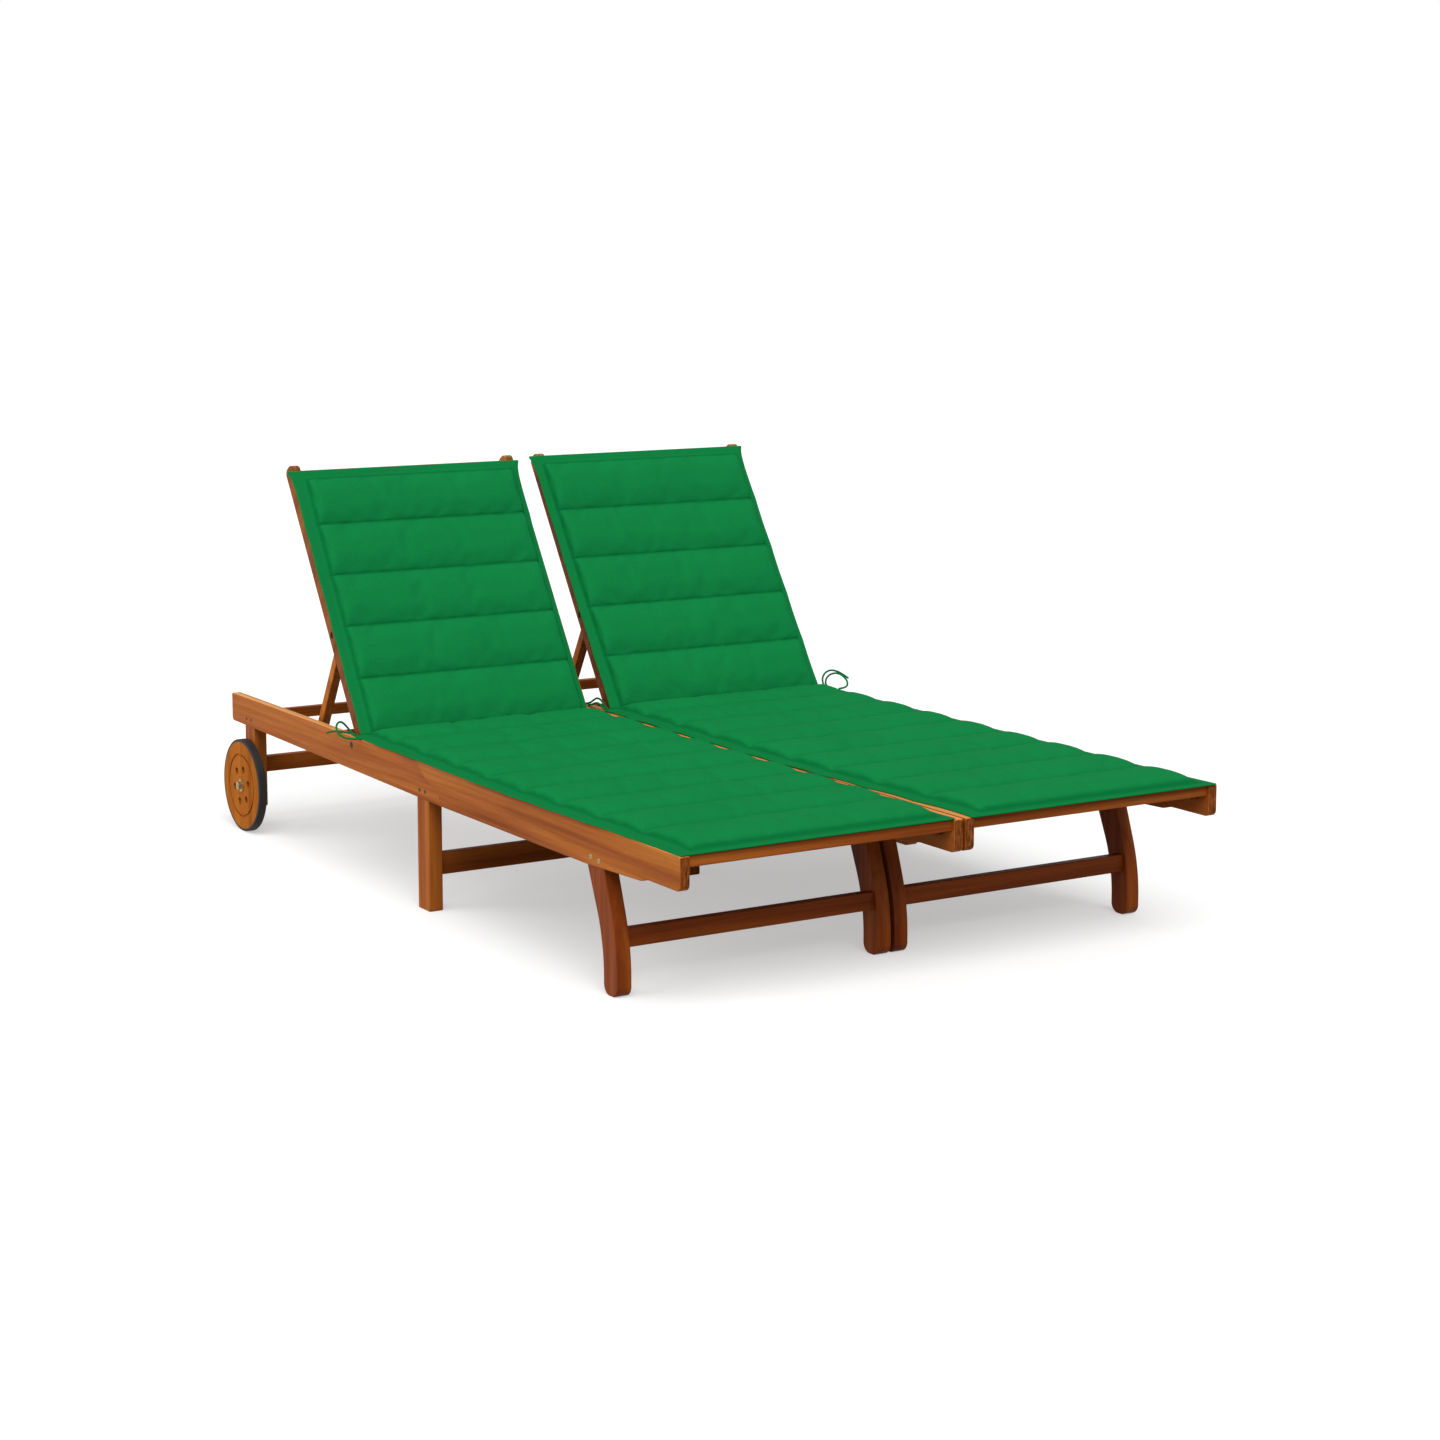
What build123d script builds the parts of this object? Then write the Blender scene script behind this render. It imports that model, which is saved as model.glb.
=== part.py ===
from build123d import *
import math
import os

os.makedirs("parts", exist_ok=True)

# Millimetres. x runs across the pair of loungers, y from the foot end to the head end and z up from
# the floor. Places on the left lounger are given as u, across from its outer face, and v, along from
# the foot end. The right lounger is its mirror image.

# Driving dimensions of the frame
frame_length = 2000.0
frame_width = 600.0
frame_gap = 5.0
rail_top = 303.0
rail_thickness = 20.0
rail_depth = 76.0
edge_round = 2.0
small_chamfer = 1.2
sliding_gap = 0.6
moving_gap = 0.3
bore_clearance = 0.05

# Side rails: a slim tip with a stepped underside at the foot, a long taper at the head
foot_tip_depth = 62.5
head_tip_depth = 63.5
step_start = 112.0
step_end = 134.0
step_share = 0.48
taper_end = 330.0
tip_corner_radius = 12.0
tip_top_radius = 4.0
head_corner_radius = 10.0
step_radius = 44.0
taper_radius = 400.0

# The curved scarf joint between the two halves of each rail
seam_lead = 92.0
seam_run = 120.0
seam_cut = 1.2
seam_low_radius = 24.0
seam_high_radius = 60.0
seam_point_shares = ((0.16, 0.36), (0.66, 0.62))

# Legs
leg_inset = 2.0
leg_thickness = 30.0
leg_width = 52.0
tongue_top_gap = 1.5
front_leg_foot = 222.0
front_leg_foot_width = 50.0
front_leg_knee = 95.0
front_leg_top = 283.4
front_leg_top_width = 65.0
front_leg_bend = 350.0
front_leg_back_bend = 300.0
front_foot_radius = 20.0
mid_leg_v = 1008.0
rear_leg_inset = 97.0
rear_leg_bottom = 57.0

# Rails and stretchers across each lounger
cross_thickness = 20.0
front_stretcher_v = 248.0
front_stretcher_low = 87.5
front_stretcher_depth = 35.0
mid_stretcher_low = 70.0
mid_stretcher_depth = 45.0
rear_stretcher_low = 132.0
rear_stretcher_depth = 36.0
foot_rail_v = 16.0
foot_rail_depth = 22.0
head_rail_inset = 50.0
head_rail_depth = 24.0

# Seat slats on their cleats
slat_thickness = 12.0
slat_width = 45.0
slat_pitch = 57.0
first_seat_slat = 34.0
seat_slat_count = 22
slat_end_gap = 0.5
cleat_size = 20.0
cleat_start = 30.0
cleat_end = 1298.0

# Backrest: two stiles with slats between them, hinged between the rails
lean_angle = 57.0
hinge_v = 1343.6
stile_thickness = 20.0
stile_depth = 38.0
stile_side_gap = 3.0
stile_far_gap = 15.0
stile_length = 663.0
stile_tip_radius = 14.0
stile_rise = 0.5
first_back_slat = 30.0
back_slat_count = 11

# Prop: two arms and a round bar that stands in the racks
prop_along = 256.0
prop_behind = 4.0
prop_length = 277.0
prop_bar_height = 256.5
arm_width = 20.0
arm_thickness = 20.0
prop_bar_radius = 7.0
bar_end_gap = 1.5
rack_thickness = 23.0
rack_low = 235.5
rack_tip_gap = 0.6
rack_leg_gap = 2.0
rack_wall = 16.0
rack_wall_height = 9.0
notch_count = 5
notch_pitch = 50.0
notch_radius = 8.0
notch_rise = 3.0

# Bolts, screws, washers and nuts
bolt_radius = 4.0
bolt_head_radius = 7.5
bolt_head_height = 2.5
bolt_head_recess = 3.0
prop_head_recess = 4.5
washer_radius = 10.0
washer_thickness = 1.5
nut_size = 13.0
nut_height = 6.0
thread_end = 1.5
screw_head_radius = 4.5
screw_head_height = 2.4
screw_stand = 0.8
screw_radius = 2.2
screw_length = 27.0
screw_socket = 4.0
screw_socket_depth = 1.4
leg_screw_height = 245.0
leg_screw_spread = 15.0
rear_screw_height = 255.0
rear_screw_spread = 12.5
front_screw_places = ((313.5, 244.0), (284.0, 241.0))
connector_places = (620.0, 1450.0)
connector_height = 250.0
connector_head = 4.0

# Wheels
wheel_radius = 105.0
tyre_depth = 6.0
wheel_thickness = 19.0
wheel_leg_gap = 4.0
tyre_edge = 2.5
wheel_hole_count = 6
wheel_hole_radius = 8.0
wheel_hole_turn_share = 0.8
wheel_hole_circle = 39.0
wheel_groove_radius = 70.0
wheel_groove_width = 5.0
wheel_groove_depth = 2.5
axle_radius = 5.0
axle_washer_radius = 14.0
axle_washer_thickness = 2.0
axle_nut_size = 17.0
axle_nut_height = 7.0
axle_stand = 1.5
axle_head_height = 6.0

# Cushions: a flat border with quilted panels on it
border_thickness = 5.0
seat_panel_count = 9
seat_first_seam = 37.0
seat_panel_pitch = 145.0
seat_crease = 1330.0
seat_foot_gap = 2.0
seat_crease_lean_share = 1.15
seat_side_border = 40.0
seat_valley = 17.0
seat_crown = 26.0
back_panel_count = 5
back_crease = 13.0
back_first_seam = 136.0
back_panel_pitch = 123.0
back_top = 642.0
back_top_border = 24.0
back_overhang = 6.0
back_far_inset = 2.0
back_side_border = 30.0
back_valley = 15.0
back_crown = 25.0
back_scallop = 2.0
crown_shares = ((0.0, 0.36), (0.012, 0.6), (0.045, 0.84), (0.14, 0.96), (0.5, 1.0))

# Side edges of the seat cushions, at the foot end, at each channel and at the crease, as shares of the
# rail's thickness in from the lounger's outer and inner face. Between channels each edge draws in.
seat_edge_shares = {
    "left": ((0.4, 0.15, -0.2, -0.425, -0.5, -0.45, -0.3, -0.15, -0.1, 0.075),
             (1.1, 0.4, 0.25, 0.2, 0.2, 0.2, 0.2, 0.2, 0.3, 0.9)),
    "right": ((0.4, 1.0, 0.9, 0.75, 0.65, 0.55, 0.5, 0.45, 0.383, 0.075),
              (0.95, 0.6, 0.15, -0.1, -0.15, -0.15, -0.15, -0.15, 0.0, 0.075)),
}
seat_scallops = {"left": (-2.0, -7.0), "right": (2.0, -5.0)}

# Ties: round cords sewn into the rear corners of the seat cushions. Each route is a list of
# (u, v, height) chosen by hand, from the corner of the cushion to the free end.
tie_diameter = 4.5
tie_bend_share = 0.45
tie_routes = {
    "left_tie_loop": (
        "left",
        ((4.5, 1330.0, 305.5), (4.5, 1342.0, 305.5), (2.0, 1352.5, 312.5), (-6.0, 1355.0, 324.0),
         (-18.0, 1350.0, 334.5), (-31.0, 1341.0, 336.5), (-40.5, 1330.5, 329.0), (-42.0, 1319.0, 317.5),
         (-34.0, 1308.0, 309.0), (-20.0, 1300.5, 306.0), (-6.0, 1296.0, 305.8), (0.9, 1294.6, 305.6)),
    ),
    "left_tie_end": (
        "left",
        ((10.4, 1330.0, 305.5), (10.4, 1348.0, 305.5), (8.8, 1370.0, 305.6), (1.0, 1392.0, 305.8),
         (-10.0, 1411.0, 305.2), (-19.0, 1426.0, 300.0)),
    ),
    "middle_tie_upper": (
        "right_inner",
        ((10.4, 1330.0, 305.5), (10.4, 1342.0, 305.5), (10.2, 1353.0, 312.0), (9.0, 1364.0, 322.0),
         (7.5, 1380.0, 325.5), (7.5, 1396.0, 318.5), (7.0, 1413.0, 308.5), (5.5, 1430.0, 305.6)),
    ),
    "middle_tie_lower": (
        "right_inner",
        ((4.5, 1330.0, 305.5), (4.5, 1341.0, 305.5), (3.2, 1352.0, 311.0), (1.5, 1364.0, 316.5),
         (0.5, 1379.0, 314.5), (1.0, 1395.0, 307.8), (2.5, 1411.0, 305.5)),
    ),
    "right_tie_end": (
        "right",
        ((10.4, 1330.0, 305.5), (10.4, 1342.0, 305.5), (10.2, 1351.5, 313.5), (7.0, 1357.0, 325.0),
         (-2.0, 1358.0, 336.0), (-15.0, 1354.0, 341.0), (-30.0, 1348.0, 336.5), (-43.0, 1342.0, 328.0),
         (-53.0, 1338.0, 320.0)),
    ),
    "right_tie_loop": (
        "right",
        ((4.5, 1330.0, 305.5), (4.5, 1342.0, 305.5), (2.5, 1351.5, 312.0), (-2.5, 1355.0, 322.5),
         (-12.0, 1351.0, 332.0), (-24.0, 1342.0, 334.5), (-34.0, 1331.0, 328.0), (-37.5, 1319.5, 317.0),
         (-31.0, 1309.0, 309.0), (-18.0, 1302.0, 306.0), (-4.0, 1298.8, 305.8), (0.7, 1297.9, 305.6)),
    ),
}

# Worked-out places
outer_face_x = -(frame_gap / 2 + frame_width)
rear_leg_v = frame_length - rear_leg_inset
head_rail_v = frame_length - head_rail_inset
seam_start = mid_leg_v - seam_lead
rack_end = rear_leg_v - leg_width / 2 - rack_leg_gap
overall_length = max(frame_length, rear_leg_v + wheel_radius)
foot_end_y = -overall_length / 2
centre_x = outer_face_x + frame_width / 2
rail_bottom = rail_top - rail_depth
foot_tip_z = rail_top - foot_tip_depth
head_tip_z = rail_top - head_tip_depth
step_z = foot_tip_z - (foot_tip_z - rail_bottom) * step_share
seam_end = seam_start + seam_run
slat_low = rail_top - slat_thickness
cleat_low = slat_low - cleat_size
inner_face = frame_width - rail_thickness
hinge_z = rail_top - stile_depth / 2 + stile_rise
stile_low = hinge_z - stile_depth / 2
stile_u = rail_thickness + stile_side_gap
stile_inner = stile_u + stile_thickness
stile_far = inner_face - stile_far_gap
backrest_width = stile_far - stile_u
backrest_centre_x = outer_face_x + (stile_u + stile_far) / 2
arm_u = stile_inner + sliding_gap
lean = math.radians(lean_angle)
along_y, along_z = math.cos(lean), math.sin(lean)
pivot_v = hinge_v + prop_along * along_y + prop_behind * along_z
pivot_z = hinge_z + prop_along * along_z - prop_behind * along_y
prop_slope = math.asin((pivot_z - prop_bar_height) / prop_length)
flat_pivot_z = hinge_z - prop_behind
flat_slope = math.asin((flat_pivot_z - prop_bar_height) / prop_length)
prop_turn = prop_slope - flat_slope
bar_v = pivot_v + prop_length * math.cos(prop_slope)
bar_end = leg_inset + leg_thickness + bar_end_gap
wheel_out = leg_inset - wheel_leg_gap - wheel_thickness
cushion_front = stile_depth / 2


def side_plane(u):
    """Plane across the lounger at u, with v to the right and height up."""
    return Plane(origin=(outer_face_x + u, foot_end_y, 0), x_dir=(0, 1, 0), z_dir=(1, 0, 0))


def lean_plane(u):
    """Plane across the backrest at u, with x up the stile from the hinge and y to its front."""
    origin = (outer_face_x + u, foot_end_y + hinge_v, hinge_z)
    return Plane(origin=origin, x_dir=(0, along_y, along_z), z_dir=(1, 0, 0))


def prop_plane(u):
    """Plane across a prop arm at u, with x from the pivot down to the bar."""
    origin = (outer_face_x + u, foot_end_y + pivot_v, pivot_z)
    return Plane(origin=origin, x_dir=(0, math.cos(prop_slope), -math.sin(prop_slope)), z_dir=(1, 0, 0))


def plate(plane_at, outline, start_u, end_u):
    """Board cut to a closed outline, from one distance across the lounger to another."""
    return extrude(plane_at(start_u) * outline, amount=end_u - start_u, dir=(1, 0, 0)).solid()


def block(u_range, v_range, z_range):
    """Square-edged bar between two distances across, two along and two heights."""
    middle = (sum(u_range) / 2, sum(v_range) / 2, sum(z_range) / 2)
    size = (u_range[1] - u_range[0], v_range[1] - v_range[0], z_range[1] - z_range[0])
    return (Pos(outer_face_x + middle[0], foot_end_y + middle[1], middle[2]) * Box(*size)).solid()


def pin(u_range, v, z, radius):
    """Round bar across the lounger."""
    place = Plane(origin=(outer_face_x + u_range[0], foot_end_y + v, z), z_dir=(1, 0, 0))
    length = u_range[1] - u_range[0]
    return (place * Cylinder(radius, length, align=(Align.CENTER, Align.CENTER, Align.MIN))).solid()


def hexagon_bar(u_range, v, z, across_flats):
    """Six-sided bar across the lounger."""
    place = Plane(origin=(outer_face_x + u_range[0], foot_end_y + v, z), z_dir=(1, 0, 0))
    profile = place * RegularPolygon(across_flats / 2, 6, major_radius=False)
    return extrude(profile, amount=u_range[1] - u_range[0], dir=(1, 0, 0)).solid()


def bored(body, tools):
    """The body with the room of the tools cut out."""
    for tool in tools:
        body = body - tool
    return body.solid()


def to_inner(shape):
    """Mirror image about the middle of the left lounger."""
    return mirror(shape, about=Plane.YZ.offset(centre_x))


def to_right(shape):
    """The same piece on the right lounger."""
    return mirror(shape, about=Plane.YZ)


def to_far_side(shape):
    """Mirror image about the middle of the left backrest."""
    return mirror(shape, about=Plane.YZ.offset(backrest_centre_x))


def to_right_backrest(shape):
    """The same piece of the right backrest, which is like the left one and isn't its mirror image."""
    return Pos(frame_width + frame_gap, 0, 0) * shape


def on_both_sides(shapes):
    """Pieces of the outer side of a lounger together with those of its inner side."""
    return list(shapes) + [to_inner(shape) for shape in shapes]


def save(name, shapes):
    """Write one piece, or a group of like pieces, under its name."""
    shapes = shapes if isinstance(shapes, list) else [shapes]
    export_step(shapes[0] if len(shapes) == 1 else Compound(shapes), os.path.join("parts", name + ".step"))


def save_pair(name, shapes):
    """Write the pieces of the left lounger and their mirror images on the right one."""
    shapes = shapes if isinstance(shapes, list) else [shapes]
    save("left_" + name, shapes)
    save("right_" + name, [to_right(shape) for shape in shapes])


def save_backrest_pair(name, shapes):
    """Write the pieces of the left backrest and like pieces of the right one."""
    shapes = shapes if isinstance(shapes, list) else [shapes]
    save("left_" + name, shapes)
    save("right_" + name, [to_right_backrest(shape) for shape in shapes])


def rounded_bar(u_range, v_range, z_range):
    """Planed bar across the lounger with its long edges rounded."""
    bar = block(u_range, v_range, z_range)
    return fillet(bar.edges().filter_by(Axis.X), edge_round).solid()


# Side rails
def rail_blank():
    """The whole rail before the scarf joint is cut."""
    outline = FilletPolyline(
        (0, rail_top),
        (0, foot_tip_z),
        (step_start, foot_tip_z),
        (step_end, step_z),
        (taper_end, rail_bottom),
        (seam_start, rail_bottom),
        (frame_length, head_tip_z),
        (frame_length, rail_top),
        radius=[tip_top_radius, tip_corner_radius, step_radius, step_radius, taper_radius,
                taper_radius, head_corner_radius, tip_top_radius],
        close=True,
    )
    return plate(side_plane, make_face(outline), 0, rail_thickness)


def seam_cutter(shift):
    """Everything on the foot side of the curved seam, moved along by a shift."""
    low, high = seam_point_shares
    start = (seam_start + shift, rail_bottom)
    low_point = (start[0] + low[0] * seam_run, rail_bottom + low[1] * rail_depth)
    high_point = (start[0] + high[0] * seam_run, rail_bottom + high[1] * rail_depth)
    end = (seam_end + shift, rail_top)
    below = (2 * start[0] - low_point[0], 2 * start[1] - low_point[1])
    above = (2 * end[0] - high_point[0], 2 * end[1] - high_point[1])
    seam = FilletPolyline(below, low_point, high_point, above, radius=[seam_low_radius, seam_high_radius])
    back = Polyline(above, (-rail_depth, above[1]), (-rail_depth, below[1]), below)
    return plate(side_plane, make_face(seam + back), -rail_thickness, 2 * rail_thickness)


blank = rail_blank()
softened_blank = fillet(blank.edges().filter_by(Plane.YZ), edge_round).solid()


# Hardware in the rails
def screw_room(v, z):
    """Room that a screw fills in the rail and in the tongue of a leg."""
    head = pin((-screw_stand, screw_head_height - screw_stand), v, z, screw_head_radius)
    head = chamfer(head.edges().group_by(Axis.X)[0], screw_stand / 2).solid()
    return (head + pin((screw_head_height - screw_stand, screw_length), v, z, screw_radius)).solid()


def wood_screw(v, z):
    """Screw driven from outside, with a six-sided socket in its head."""
    socket = hexagon_bar((-2 * screw_stand, screw_socket_depth - screw_stand), v, z, screw_socket)
    return bored(screw_room(v, z), [socket])


def screw_places():
    """Places of the two screws for each of the three legs on one rail."""
    places = list(front_screw_places)
    places += [(mid_leg_v - leg_screw_spread, leg_screw_height)]
    places += [(mid_leg_v + leg_screw_spread * 2 / 3, leg_screw_height)]
    places += [(rear_leg_v + side * rear_screw_spread, rear_screw_height) for side in (-1, 1)]
    return places


def hinge_bolt(gap):
    """Bolt that carries a stile across a gap, with its head sunk in the outer face of the rail."""
    head_end = bolt_head_recess
    head = pin((head_end - bolt_head_height, head_end), hinge_v, hinge_z, bolt_head_radius)
    far_face = rail_thickness + gap + stile_thickness
    nut_end = far_face + moving_gap + washer_thickness + nut_height
    shank = pin((head_end, nut_end + thread_end), hinge_v, hinge_z, bolt_radius)
    return (head + shank).solid()


def hinge_rings(gap):
    """Spacer in the gap between rail and stile, and washer and nut behind the stile."""
    near_face = rail_thickness + gap
    spacer = pin((rail_thickness, near_face - moving_gap), hinge_v, hinge_z, washer_radius)
    washer_u = near_face + stile_thickness + moving_gap
    washer = pin((washer_u, washer_u + washer_thickness), hinge_v, hinge_z, washer_radius)
    nut_u = washer_u + washer_thickness
    nut = hexagon_bar((nut_u, nut_u + nut_height), hinge_v, hinge_z, nut_size)
    shank = pin((0, nut_u + 2 * nut_height), hinge_v, hinge_z, bolt_radius)
    return [bored(ring, [shank]) for ring in (spacer, washer, nut)]


def connector(v):
    """Bolt, spacer and nut that hold the two inner rails together."""
    z = connector_height
    far_face = frame_width + frame_gap + rail_thickness
    shank = pin((inner_face, far_face + nut_height + thread_end), v, z, bolt_radius)
    bolt = (pin((inner_face - connector_head, inner_face), v, z, bolt_head_radius) + shank).solid()
    spacer = bored(pin((frame_width, frame_width + frame_gap), v, z, washer_radius), [shank])
    nut = bored(hexagon_bar((far_face, far_face + nut_height), v, z, nut_size), [shank])
    return [bolt, spacer, nut]


screws = [wood_screw(v, z) for v, z in screw_places()]
screw_rooms = [screw_room(v, z) for v, z in screw_places()]
bolt = hinge_bolt(stile_side_gap)
connectors = [piece for v in connector_places for piece in connector(v)]
bolt_mouth = pin((-sliding_gap, bolt_head_recess), hinge_v, hinge_z, bolt_head_radius)
outer_tools = screw_rooms + [bolt, bolt_mouth]


def rail_halves(tools):
    """Foot half and head half of the left outer rail, bored for its fasteners."""
    foot_half = (softened_blank & seam_cutter(0)).solid()
    head_half = (softened_blank - seam_cutter(seam_cut)).solid()
    return bored(foot_half, tools), bored(head_half, tools)


outer_halves = rail_halves(outer_tools)
inner_halves = [bored(to_inner(half), connectors) for half in outer_halves]
for half_name, outer_half, inner_half in zip(("foot_rail", "head_rail"), outer_halves, inner_halves):
    save_pair("outer_" + half_name, outer_half)
    save("left_inner_" + half_name, inner_half)
    save("right_inner_" + half_name, bored(to_right(to_inner(outer_half)), connectors))


# Legs: full thickness under the rail, a thinner tongue behind it
def leg(outline):
    """Leg with its shoulder cut to the underside of the rail."""
    board = plate(side_plane, outline, leg_inset, leg_inset + leg_thickness)
    board = fillet(board.edges().filter_by(Plane.YZ), edge_round).solid()
    return bored(board, [blank] + screw_rooms)


def straight_leg(v, bottom, top):
    """Straight leg between two heights."""
    middle = Pos(v, (bottom + top) / 2)
    return leg(middle * RectangleRounded(leg_width, top - bottom, edge_round * 2))


def front_leg():
    """Sabre leg that sweeps forward to its rounded foot."""
    tongue_top = cleat_low - tongue_top_gap
    foot_back = front_leg_foot + front_leg_foot_width
    outline = FilletPolyline(
        (front_leg_top, tongue_top),
        (front_leg_foot, front_leg_knee),
        (front_leg_foot, 0),
        (foot_back, 0),
        (foot_back, front_leg_knee),
        (front_leg_top + front_leg_top_width, tongue_top),
        radius=[edge_round * 2, front_leg_bend, front_foot_radius, front_foot_radius,
                front_leg_back_bend, edge_round * 2],
        close=True,
    )
    return leg(make_face(outline))


axle_tool = pin((0, 2 * leg_thickness), rear_leg_v, wheel_radius, axle_radius)
front = front_leg()
middle = straight_leg(mid_leg_v, 0, cleat_low - tongue_top_gap)
rear = straight_leg(rear_leg_v, rear_leg_bottom, stile_low - tongue_top_gap)
save_pair("outer_front_leg", front)
save_pair("inner_front_leg", to_inner(front))
save_pair("mid_legs", on_both_sides([middle]))
save_pair("rear_legs", [bored(rear, [axle_tool]), to_inner(rear)])

# Stretchers between the legs, cross rails between the side rails
leg_inner = leg_inset + leg_thickness
stretcher_span = (leg_inner, frame_width - leg_inner)
rail_span = (rail_thickness, inner_face)


def cross_bar(span, v, low, depth):
    """Bar across the lounger centred on v."""
    return rounded_bar(span, (v - cross_thickness / 2, v + cross_thickness / 2), (low, low + depth))


save_pair("front_stretcher", cross_bar(stretcher_span, front_stretcher_v, front_stretcher_low,
                                       front_stretcher_depth))
save_pair("mid_stretcher", cross_bar(stretcher_span, mid_leg_v, mid_stretcher_low, mid_stretcher_depth))
save_pair("rear_stretcher", cross_bar(stretcher_span, rear_leg_v, rear_stretcher_low,
                                      rear_stretcher_depth))
foot_rail = cross_bar(rail_span, foot_rail_v, rail_top - foot_rail_depth, foot_rail_depth)
head_rail_low = stile_low - tongue_top_gap - head_rail_depth
head_rail = cross_bar(rail_span, head_rail_v, head_rail_low, head_rail_depth)
save("foot_cross_rails", [foot_rail, to_right(foot_rail)])
save("head_cross_rails", [head_rail, to_right(head_rail)])


# Seat slats and the cleats that carry them
def slat(bar, long_axis_edges):
    """Slat with its long edges eased."""
    return chamfer(bar.edges().filter_by(long_axis_edges), small_chamfer).solid()


def seat_slat(index):
    """One slat of the seat, level with the top of the rails."""
    start = first_seat_slat + index * slat_pitch
    span = (rail_thickness + slat_end_gap, inner_face - slat_end_gap)
    return slat(block(span, (start, start + slat_width), (slat_low, rail_top)), Axis.X)


cleat = block((rail_thickness, rail_thickness + cleat_size), (cleat_start, cleat_end), (cleat_low, slat_low))
cleat = chamfer(cleat.edges().filter_by(Axis.Y), small_chamfer).solid()
cleats = on_both_sides([cleat])
save_pair("seat_slats", [seat_slat(index) for index in range(seat_slat_count)])
save("slat_cleats", cleats + [to_right(piece) for piece in cleats])


# Racks: notched battens that the prop bar stands in
def lowest_bar_height():
    """Lowest height of the middle of the bar between the upright and the flat backrest."""
    heights = []
    for step in range(notch_count * notch_count + 1):
        share = step / (notch_count * notch_count)
        angle = lean * (1 - share)
        slope = prop_slope - share * prop_turn
        pivot = hinge_z + prop_along * math.sin(angle) - prop_behind * math.cos(angle)
        heights.append(pivot - prop_length * math.sin(slope))
    return min(heights)


def rack():
    """Batten with a seat for the bar at its raised end and a row of shallow notches."""
    tip = lowest_bar_height() - prop_bar_radius - rack_tip_gap
    wall_top = tip + rack_wall_height
    outline = Polyline(
        (bar_v - rack_wall, rack_low),
        (rack_end, rack_low),
        (rack_end, tip),
        (bar_v, tip),
        (bar_v, wall_top),
        (bar_v - rack_wall, wall_top),
        close=True,
    )
    span = (rail_thickness, rail_thickness + rack_thickness)
    batten = plate(side_plane, make_face(outline), *span)
    scoops = [pin(span, bar_v, prop_bar_height, prop_bar_radius + sliding_gap)]
    for index in range(1, notch_count):
        scoops.append(pin(span, bar_v + index * notch_pitch, tip + notch_rise, notch_radius))
    return bored(batten, scoops)


racks = on_both_sides([rack()])
save("prop_racks", racks + [to_right(piece) for piece in racks])


# Backrest
def stile():
    """Side bar of the backrest, round at the hinge and softly rounded at its tip."""
    half_depth = stile_depth / 2
    shaft = Pos(stile_length / 2, 0) * Rectangle(stile_length, stile_depth)
    shaft = fillet(shaft.vertices().group_by(Axis.X)[-1], stile_tip_radius)
    outline = shaft + Circle(half_depth)
    board = plate(lean_plane, outline, stile_u, stile_inner)
    board = fillet(board.edges().filter_by(Plane.YZ), edge_round).solid()
    hinge_bore = pin((0, 2 * stile_inner), hinge_v, hinge_z, bolt_radius + bore_clearance)
    return bored(board, [hinge_bore, prop_bolt(), prop_head_mouth()])


def prop_bolt():
    """Bolt through stile and prop arm, its head sunk in the outer face of the stile."""
    head_end = stile_u + prop_head_recess
    head = pin((head_end - bolt_head_height, head_end), pivot_v, pivot_z, bolt_head_radius)
    shank_end = prop_nut_u() + nut_height + thread_end
    return (head + pin((head_end, shank_end), pivot_v, pivot_z, bolt_radius)).solid()


def prop_head_mouth():
    """Mouth of the recess over a prop bolt."""
    mouth = (stile_u - sliding_gap, stile_u + prop_head_recess)
    return pin(mouth, pivot_v, pivot_z, bolt_head_radius)


def prop_nut_u():
    """Distance across to the near face of the nut on a prop bolt."""
    return arm_u + arm_thickness + moving_gap


def prop_nut():
    """Nut on the end of a prop bolt."""
    nut_u = prop_nut_u()
    return bored(hexagon_bar((nut_u, nut_u + nut_height), pivot_v, pivot_z, nut_size), [prop_bolt()])


def back_slat(index):
    """One slat between the stiles, level with their front."""
    start = first_back_slat + index * slat_pitch
    width = backrest_width - 2 * stile_thickness
    middle = (start + slat_width / 2, cushion_front - slat_thickness / 2, width / 2)
    bar = lean_plane(stile_inner) * Pos(*middle) * Box(slat_width, slat_thickness, width)
    return slat(bar.solid(), Axis.X)


outer_stile = stile()
prop_fixings = [prop_bolt(), prop_nut()]
save("left_outer_stile", outer_stile)
save("left_inner_stile", to_far_side(outer_stile))
save("right_inner_stile", to_right_backrest(outer_stile))
save("right_outer_stile", to_right_backrest(to_far_side(outer_stile)))
save_backrest_pair("backrest_slats", [back_slat(index) for index in range(back_slat_count)])
save_backrest_pair("prop_bolts", prop_fixings + [to_far_side(piece) for piece in prop_fixings])


# Prop
def prop_arm():
    """Arm from the pivot in the stile down to the bar."""
    outline = Pos(prop_length / 2, 0) * SlotCenterToCenter(prop_length, arm_width)
    arm = plate(prop_plane, outline, arm_u, arm_u + arm_thickness)
    arm = fillet(arm.edges().filter_by(Plane.YZ), edge_round).solid()
    pivot_bore = pin((0, 2 * prop_nut_u()), pivot_v, pivot_z, bolt_radius + bore_clearance)
    return bored(arm, [pivot_bore, prop_bar()])


def prop_bar():
    """Round bar through both arms, with its ends out over the racks."""
    return pin((bar_end, frame_width - bar_end), bar_v, prop_bar_height, prop_bar_radius)


outer_arm = prop_arm()
save_backrest_pair("prop_arms", [outer_arm, to_far_side(outer_arm)])
save_backrest_pair("prop_bar", prop_bar())


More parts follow.
